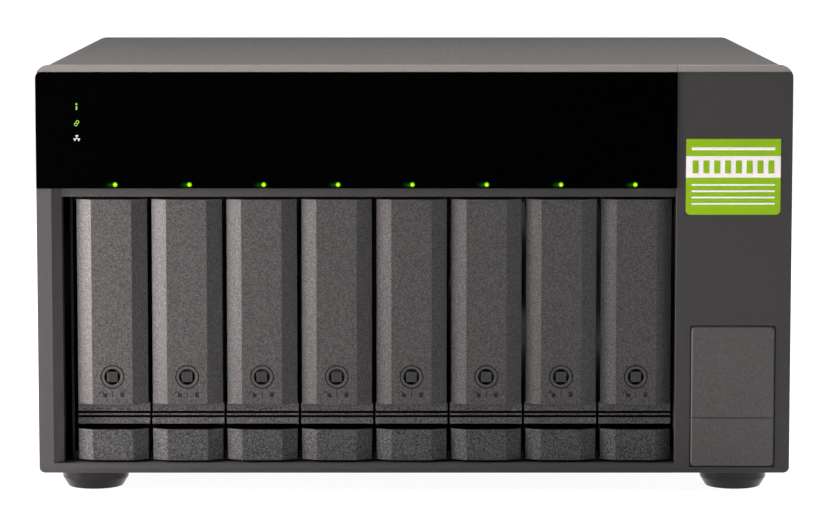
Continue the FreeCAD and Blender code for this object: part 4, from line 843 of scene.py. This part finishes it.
class DISKSHELF_OT_locks(bpy.types.Operator):
    """Makes the lock cores, the rings round them and the two padlock signs"""

    bl_idname = "diskshelf.locks"
    bl_label = "Locks"

    def execute(self, context):
        size = context.scene.shelf_sizes
        core_edge = 0.6 * MM
        for number in range(1, BAYS + 1):
            core = "tray_lock_%d" % number
            handle = "tray_handle_%d" % number
            piece = softened(core, core_edge, finish("Lock metal"))
            ride_and_replace(piece, core, core)
            centre = (middle(handle).x, middle(core).z)
            self.make_ring(number, handle, centre, size)
            self.make_signs(number, handle, centre)
        return {"FINISHED"}

    def make_ring(self, number, handle, centre, size):
        """Flat ring with a bevelled bore, a dark line round it and a dark liner in the bore; the
        line and the liner are painted shade of the groove and of the bore.
        """
        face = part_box(handle)[0].y
        bore, bore_bevel, bevel_back = 3.6 * MM, 0.1 * MM, face + 0.04 * MM
        ring_front, ring_back = face - 0.04 * MM, face + 0.6 * MM
        line_front, line_back = face - 0.05 * MM, face + 0.3 * MM
        line_inner = size.ring_radius - 0.05 * MM
        line_outer = size.ring_radius + size.ring_line
        bore_shade_front, bore_shade_back = face + 0.2 * MM, face + 4.9 * MM
        bore_shade_inner, bore_shade_outer = 3.45 * MM, 3.63 * MM
        turned = (
            ("lock_ring_%d", "Lock ring",
             [(bore, ring_back), (bore, bevel_back), (bore + bore_bevel, ring_front),
              (size.ring_radius, ring_front), (size.ring_radius, ring_back)]),
            # painted shade: a near-black ring for the shade in the groove round the lock ring
            ("lock_line_%d", "Groove shade",
             [(line_inner, line_back), (line_inner, line_front),
              (line_outer, line_front), (line_outer, line_back)]),
            # painted shade: a black sleeve in the bore, which stands for the bore's shade
            ("lock_liner_%d", "Black plastic",
             [(bore_shade_outer, bore_shade_back), (bore_shade_outer, bore_shade_front),
              (bore_shade_inner, bore_shade_front), (bore_shade_inner, bore_shade_back)]),
        )
        for name, ink, profile in turned:
            piece = lathe(name % number, profile, centre, finish(ink))
            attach(piece, handle)

    def make_signs(self, number, handle, centre):
        """Open padlock, dividing line and closed padlock, printed under the lock."""
        x, base = centre[0], centre[1] - 9.0 * MM
        case_top = base + 1.75 * MM
        half_line = 0.21 * MM
        open_shackle, open_radius = (x - 4.75 * MM, base + 1.6 * MM), 0.85 * MM
        closed_shackle, closed_radius = (x + 4.27 * MM, case_top), 0.62 * MM
        plates = [
            (box_points(x - 4.15 * MM, x - 2.35 * MM, base, case_top), 0),
            (band_points(open_shackle, open_radius, half_line, 0, 190), 0),
            (box_points(x - 0.1 * MM, x + 0.25 * MM, base - 0.1 * MM, base + 2.5 * MM), 0),
            (box_points(x + 3.45 * MM, x + 5.1 * MM, base, case_top), 0),
            (band_points(closed_shackle, closed_radius, half_line, 0, 180), 0),
        ]
        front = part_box(handle)[0].y - 0.03 * MM
        signs = plate_piece("lock_signs_%d" % number, plates, front, PRINT_THICKNESS,
                            finish("Sign ink"))
        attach(signs, handle)


class DISKSHELF_OT_lamps(bpy.types.Operator):
    """Makes the row of drive lamps behind the window's lower edge"""

    bl_idname = "diskshelf.lamps"
    bl_label = "Drive lamps"

    def execute(self, context):
        size = context.scene.shelf_sizes
        x, z = first_lamp()
        shift_right, shift_up = 0.3 * MM, 0.2 * MM
        lamps = grown("drive_lamps", shared_group("Lamp row", build_lamp_row),
                      start=Vector((x + shift_right, PANEL_LOW.y, z + shift_up)),
                      spacing=size.lamp_spacing, count=BAYS, radius=size.lamp_radius,
                      bulge=0.3, material=finish("Lamp light"))
        lamps.data.shade_smooth()
        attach(lamps, "root")
        return {"FINISHED"}


class DISKSHELF_OT_status_signs(bpy.types.Operator):
    """Makes the three status signs: lamp over bar, two links and a fan"""

    bl_idname = "diskshelf.status_signs"
    bl_label = "Status signs"

    def execute(self, context):
        x = PANEL_LOW.x + 17.95 * MM
        lamp_z, link_z, fan_z = [PANEL_LOW.z + rise * MM for rise in (35.5, 28.5, 21.9)]
        plates = self.lamp_and_bar(x, lamp_z)
        for side in (-1, 1):
            plates += self.link((x + 0.34 * MM * side, link_z + 0.5 * MM * side))
        plates += self.blades((x, fan_z))
        front = PANEL_LOW.y - 0.04 * MM
        signs = plate_piece("status_signs", plates, front, PRINT_THICKNESS,
                            finish("Green sign"), finish("White sign"))
        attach(signs, "root")
        return {"FINISHED"}

    def lamp_and_bar(self, x, z):
        """A round dot over an upright bar."""
        dot, dot_radius = (x, z + 1.25 * MM), 0.42 * MM
        half_bar = 0.32 * MM
        return [(arc_points(dot, dot_radius, 0, 345, 14), 0),
                (box_points(x - half_bar, x + half_bar, z - 1.2 * MM, z + 0.35 * MM), 0)]

    def link(self, centre):
        """One chain link as two half rings, leaning to the right."""
        radius, half_width = 0.62 * MM, 0.15 * MM
        return [(band_points(centre, radius, half_width, start, start + 180), 0)
                for start in (55, 235)]

    def blades(self, centre):
        """Three fan blades round a small hub."""
        hub_radius, tip_radius = 0.3 * MM, 1.45 * MM
        plates = [(arc_points(centre, hub_radius, 0, 345, 14), 1)]
        for turn in (90, 210, 330):
            tip = arc_points(centre, tip_radius, turn - 34, turn + 26, 8)
            plates.append((tip + [on_circle(centre, hub_radius, turn + 40)], 1))
        return plates


class DISKSHELF_OT_label(bpy.types.Operator):
    """Makes the plain label on the column: green with a white band and eight bars"""

    bl_idname = "diskshelf.label"
    bl_label = "Label"

    def execute(self, context):
        low_x, high_x = COLUMN_LOW.x + 4.0 * MM, COLUMN_LOW.x + 45.2 * MM
        low_z, high_z = 123.1 * MM, 156.2 * MM
        band_low, band_high = 139.3 * MM, 148.7 * MM
        corner = 2.0 * MM
        foot = (arc_points((low_x + corner, low_z + corner), corner, 180, 270, 8)
                + arc_points((high_x - corner, low_z + corner), corner, 270, 360, 8)
                + [(high_x, band_low), (low_x, band_low)])
        plates = [(foot, 0), (box_points(low_x, high_x, band_low, band_high), 1),
                  (box_points(low_x, high_x, band_high, high_z), 0)]
        film_front, film_thickness = COLUMN_LOW.y - 0.08 * MM, 0.1 * MM
        label = plate_piece("column_label", plates, film_front, film_thickness,
                            finish("Label green"), finish("Label white"))
        print_front, print_thickness = COLUMN_LOW.y - 0.1 * MM, 0.06 * MM
        wide = high_x - low_x
        bars_wide, rules_wide = wide * 0.8, wide * 0.88
        bar_width, bar_height = 2.6 * MM, 5.6 * MM
        rule_step = 2.75 * MM
        tree = shared_group("Bar row", build_bar_row)
        bars = grown(
            "label_bars", tree,
            start=Vector((low_x + (wide - bars_wide) / 2, print_front,
                          (band_low + band_high) / 2)),
            step=Vector((bars_wide / (BAYS - 1), 0, 0)), count=BAYS,
            size=Vector((bar_width, print_thickness, bar_height)),
            material=finish("Label green"))
        rules = [
            grown(name, tree, start=Vector(((low_x + high_x) / 2, print_front, z)),
                  step=Vector((0, 0, rule_step)), count=count,
                  size=Vector((rules_wide, print_thickness, height)),
                  material=finish("Label white"))
            for name, z, count, height in (
                ("label_rules", low_z + 4.8 * MM, 4, 0.75 * MM),
                ("label_heading", high_z - 4.3 * MM, 1, 1.3 * MM))]
        for piece in [label, bars] + rules:
            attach(piece, "root")
        return {"FINISHED"}


class DISKSHELF_OT_screws(bpy.types.Operator):
    """Makes the screws of the cover's lip and of the fans, with crossed recesses"""

    bl_idname = "diskshelf.screws"
    bl_label = "Screws"

    def execute(self, context):
        size = context.scene.shelf_sizes
        low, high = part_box("cover_screws")
        screws = self.heads("cover_screw_heads", self.head_middles(), low.y,
                            size.screw_radius, high.y - low.y)
        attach(screws, "root")
        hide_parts("cover_screws")
        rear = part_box("rear_panel")[1].y
        to_corner, fan_screw_radius, fan_screw_height = 52.5 * MM, 3.8 * MM, 1.6 * MM
        places = []
        for rotor in ("fan_rotor_left", "fan_rotor_right"):
            centre = middle(rotor)
            places += [(centre.x + to_corner * i, centre.z + to_corner * k)
                       for i in (-1, 1) for k in (-1, 1)]
        fan_screws = self.heads("fan_screw_heads", places, rear, fan_screw_radius,
                                fan_screw_height)
        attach(fan_screws, "root")
        return {"FINISHED"}

    def head_middles(self):
        """Middle of each separate head of the cover screws, as (x, z)."""
        solid = merged_copy("cover_screws")
        places = []
        left = set(solid.verts)
        while left:
            island, front = set(), [left.pop()]
            while front:
                vertex = front.pop()
                island.add(vertex)
                for edge in vertex.link_edges:
                    other = edge.other_vert(vertex)
                    if other in left:
                        left.remove(other)
                        front.append(other)
            xs = [v.co.x for v in island]
            zs = [v.co.z for v in island]
            places.append(((min(xs) + max(xs)) / 2, (min(zs) + max(zs)) / 2))
        solid.free()
        return sorted(places)

    def heads(self, name, places, y, radius, height):
        return grown(name, shared_group("Screw heads", build_screw_heads),
                     points=[(x, y, z) for x, z in places], radius=radius, height=height,
                     recess=height / 2, material=finish("Plated steel"))


class DISKSHELF_OT_dial(bpy.types.Operator):
    """Makes the grip ribs and the mark of the fan-speed dial"""

    bl_idname = "diskshelf.dial"
    bl_label = "Dial ribs and mark"

    def execute(self, context):
        low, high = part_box("fan_speed_dial")
        centre = middle("fan_speed_dial")
        radius = (high.x - low.x) / 2
        rib_depth = 1.4 * MM
        ribs = grown(
            "dial_ribs", shared_group("Rib ring", build_rib_ring),
            centre=Vector((centre.x, high.y - rib_depth, centre.z)), count=28, radius=radius,
            size=Vector((0.4 * MM, 0.7 * MM, 1.8 * MM)), material=finish("Black plastic"))
        half_mark = 0.35 * MM
        outline = box_points(centre.x - half_mark, centre.x + half_mark,
                             centre.z + radius * 0.3, centre.z + radius * 0.85)
        mark = plate_piece("dial_mark", [(outline, 0)], high.y - 0.03 * MM, PRINT_THICKNESS,
                           finish("Label white"))
        for piece in (ribs, mark):
            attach(piece, "fan_speed_dial")
        return {"FINISHED"}


class DISKSHELF_OT_stage(bpy.types.Operator):
    """Sets up the floor, the soft boxes, the white room and the camera"""

    bl_idname = "diskshelf.stage"
    bl_label = "Studio"

    def execute(self, context):
        self.make_floor()
        self.make_room(context.scene)
        self.make_lights(context.scene)
        self.make_camera(context.scene)
        context.scene.view_settings.view_transform = "Standard"
        return {"FINISHED"}

    def make_floor(self):
        """White floor that keeps the case's shadow, and is seen brighter than it lights; its
        glow is a little weaker near the case, a painted shade round it.
        """
        half_side = 12.0
        glow_share = 0.75
        solid = bmesh.new()
        bmesh.ops.create_grid(solid, x_segments=1, y_segments=1, size=half_side)
        material, tree, shader = new_material("Floor white", {
            "Base Color": (0.86, 0.86, 0.86, 1), "Roughness": 0.9, "Specular IOR Level": 0.1})
        away = add_node(tree, "ShaderNodeVectorMath", {0: object_place(tree)},
                        operation="LENGTH")
        # painted shade: the glow is weaker within 0.6 m of the middle, and weakest inside 0.2 m
        glow_with_painted_shade = add_node(tree, "ShaderNodeMapRange", {
            "Value": away.outputs["Value"], "From Min": 0.2, "From Max": 0.6,
            "To Min": 1.27, "To Max": 1.34})
        glow = add_node(tree, "ShaderNodeEmission", {
            "Color": (1, 1, 1, 1), "Strength": glow_with_painted_shade.outputs[0]})
        mixed = add_node(tree, "ShaderNodeMixShader", {
            0: maths(tree, "MULTIPLY", seen_directly(tree), glow_share),
            1: shader.outputs[0], 2: glow.outputs[0]})
        tree.links.new(mixed.outputs[0], tree.nodes["Material Output"].inputs["Surface"])
        add_piece("studio_floor", as_mesh("studio_floor", solid), material)

    def make_room(self, scene):
        """White all round where it is seen, and dim where it only lights."""
        world = bpy.data.worlds.new("White room")
        world.use_nodes = True
        scene.world = world
        tree = world.node_tree
        tree.nodes.clear()
        ambient = scene.shelf_lights.ambient
        seen = maths(tree, "MULTIPLY", seen_directly(tree), 1.0 - ambient)
        sky = add_node(tree, "ShaderNodeBackground", {
            "Color": (1, 1, 1, 1), "Strength": maths(tree, "ADD", ambient, seen)})
        add_node(tree, "ShaderNodeOutputWorld", {"Surface": sky.outputs[0]})

    def make_lights(self, scene):
        levels = scene.shelf_lights
        target = Vector((0, PANEL_LOW.y, 0.09))
        warm, plain = (1.0, 0.9, 0.89), (1.0, 1.0, 1.0)
        boxes = (
            # name, place, width, height, watts, colour, spread in degrees
            ("Key box", (-0.40, -0.235, 0.17), 0.1, 0.4, levels.key, warm, 180),
            ("Fill box", (-0.62, -0.42, 0.25), 0.3, 0.6, levels.fill, warm, 180),
            ("Top box", (0, 0.05, 0.7), 0.6, 0.3, levels.top, warm, 80),
            ("Right box", (0.6, -0.40, 0.3), 0.3, 0.6, levels.right, plain, 180),
            ("Rear left box", (-1.0, 0.7, 0.45), 0.5, 0.7, levels.rear, plain, 180),
            ("Rear right box", (1.0, 0.7, 0.45), 0.5, 0.7, levels.rear, plain, 180),
        )
        for name, place, wide, tall, watts, colour, spread in boxes:
            lamp = bpy.data.lights.new(name, "AREA")
            lamp.shape = "RECTANGLE"
            lamp.size = wide
            lamp.size_y = tall
            lamp.energy = watts
            lamp.color = colour
            lamp.spread = math.radians(spread)
            holder = bpy.data.objects.new(name, lamp)
            holder.location = place
            aim = target - Vector(place)
            holder.rotation_euler = aim.to_track_quat("-Z", "Y").to_euler()
            holder.visible_camera = False
            scene.collection.objects.link(holder)

    def make_camera(self, scene):
        camera = bpy.data.cameras.new("Camera")
        camera.sensor_width = SENSOR_WIDTH
        camera.lens = SENSOR_WIDTH * CAMERA_DISTANCE / VIEW_WIDTH
        camera.clip_end = CAMERA_REACH
        camera.shift_x = CAMERA_SHIFT
        holder = bpy.data.objects.new("Camera", camera)
        holder.location = (CAMERA_X, PANEL_LOW.y - CAMERA_DISTANCE, CAMERA_HEIGHT)
        holder.rotation_euler = (math.radians(90 - CAMERA_TILT), 0, 0)
        scene.collection.objects.link(holder)
        scene.camera = holder


class DISKSHELF_PT_panel(bpy.types.Panel):
    """Lists the pieces of the shelf and the studio"""

    bl_idname = "DISKSHELF_PT_panel"
    bl_label = "Disk Shelf"
    bl_space_type = "VIEW_3D"
    bl_region_type = "UI"
    bl_category = "Disk Shelf"

    def draw(self, context):
        column = self.layout.column()
        for operator in OPERATORS:
            column.operator(operator.bl_idname)
        for group in (context.scene.shelf_sizes, context.scene.shelf_lights):
            for prop in type(group).__annotations__:
                column.prop(group, prop)


OPERATORS = (
    DISKSHELF_OT_carried_over, DISKSHELF_OT_case, DISKSHELF_OT_trays, DISKSHELF_OT_locks,
    DISKSHELF_OT_lamps, DISKSHELF_OT_status_signs, DISKSHELF_OT_label, DISKSHELF_OT_screws,
    DISKSHELF_OT_dial, DISKSHELF_OT_stage,
)
CLASSES = (ShelfSizes, ShelfLights) + OPERATORS + (DISKSHELF_PT_panel,)


def register():
    for cls in CLASSES:
        bpy.utils.register_class(cls)
    bpy.types.Scene.shelf_sizes = PointerProperty(type=ShelfSizes)
    bpy.types.Scene.shelf_lights = PointerProperty(type=ShelfLights)


def unregister():
    del bpy.types.Scene.shelf_lights
    del bpy.types.Scene.shelf_sizes
    for cls in reversed(CLASSES):
        bpy.utils.unregister_class(cls)


def main():
    register()
    bpy.ops.diskshelf.carried_over()
    bpy.ops.diskshelf.case()
    bpy.ops.diskshelf.trays()
    bpy.ops.diskshelf.locks()
    bpy.ops.diskshelf.lamps()
    bpy.ops.diskshelf.status_signs()
    bpy.ops.diskshelf.label()
    bpy.ops.diskshelf.screws()
    bpy.ops.diskshelf.dial()
    bpy.ops.diskshelf.stage()


if __name__ == "__main__":
    main()
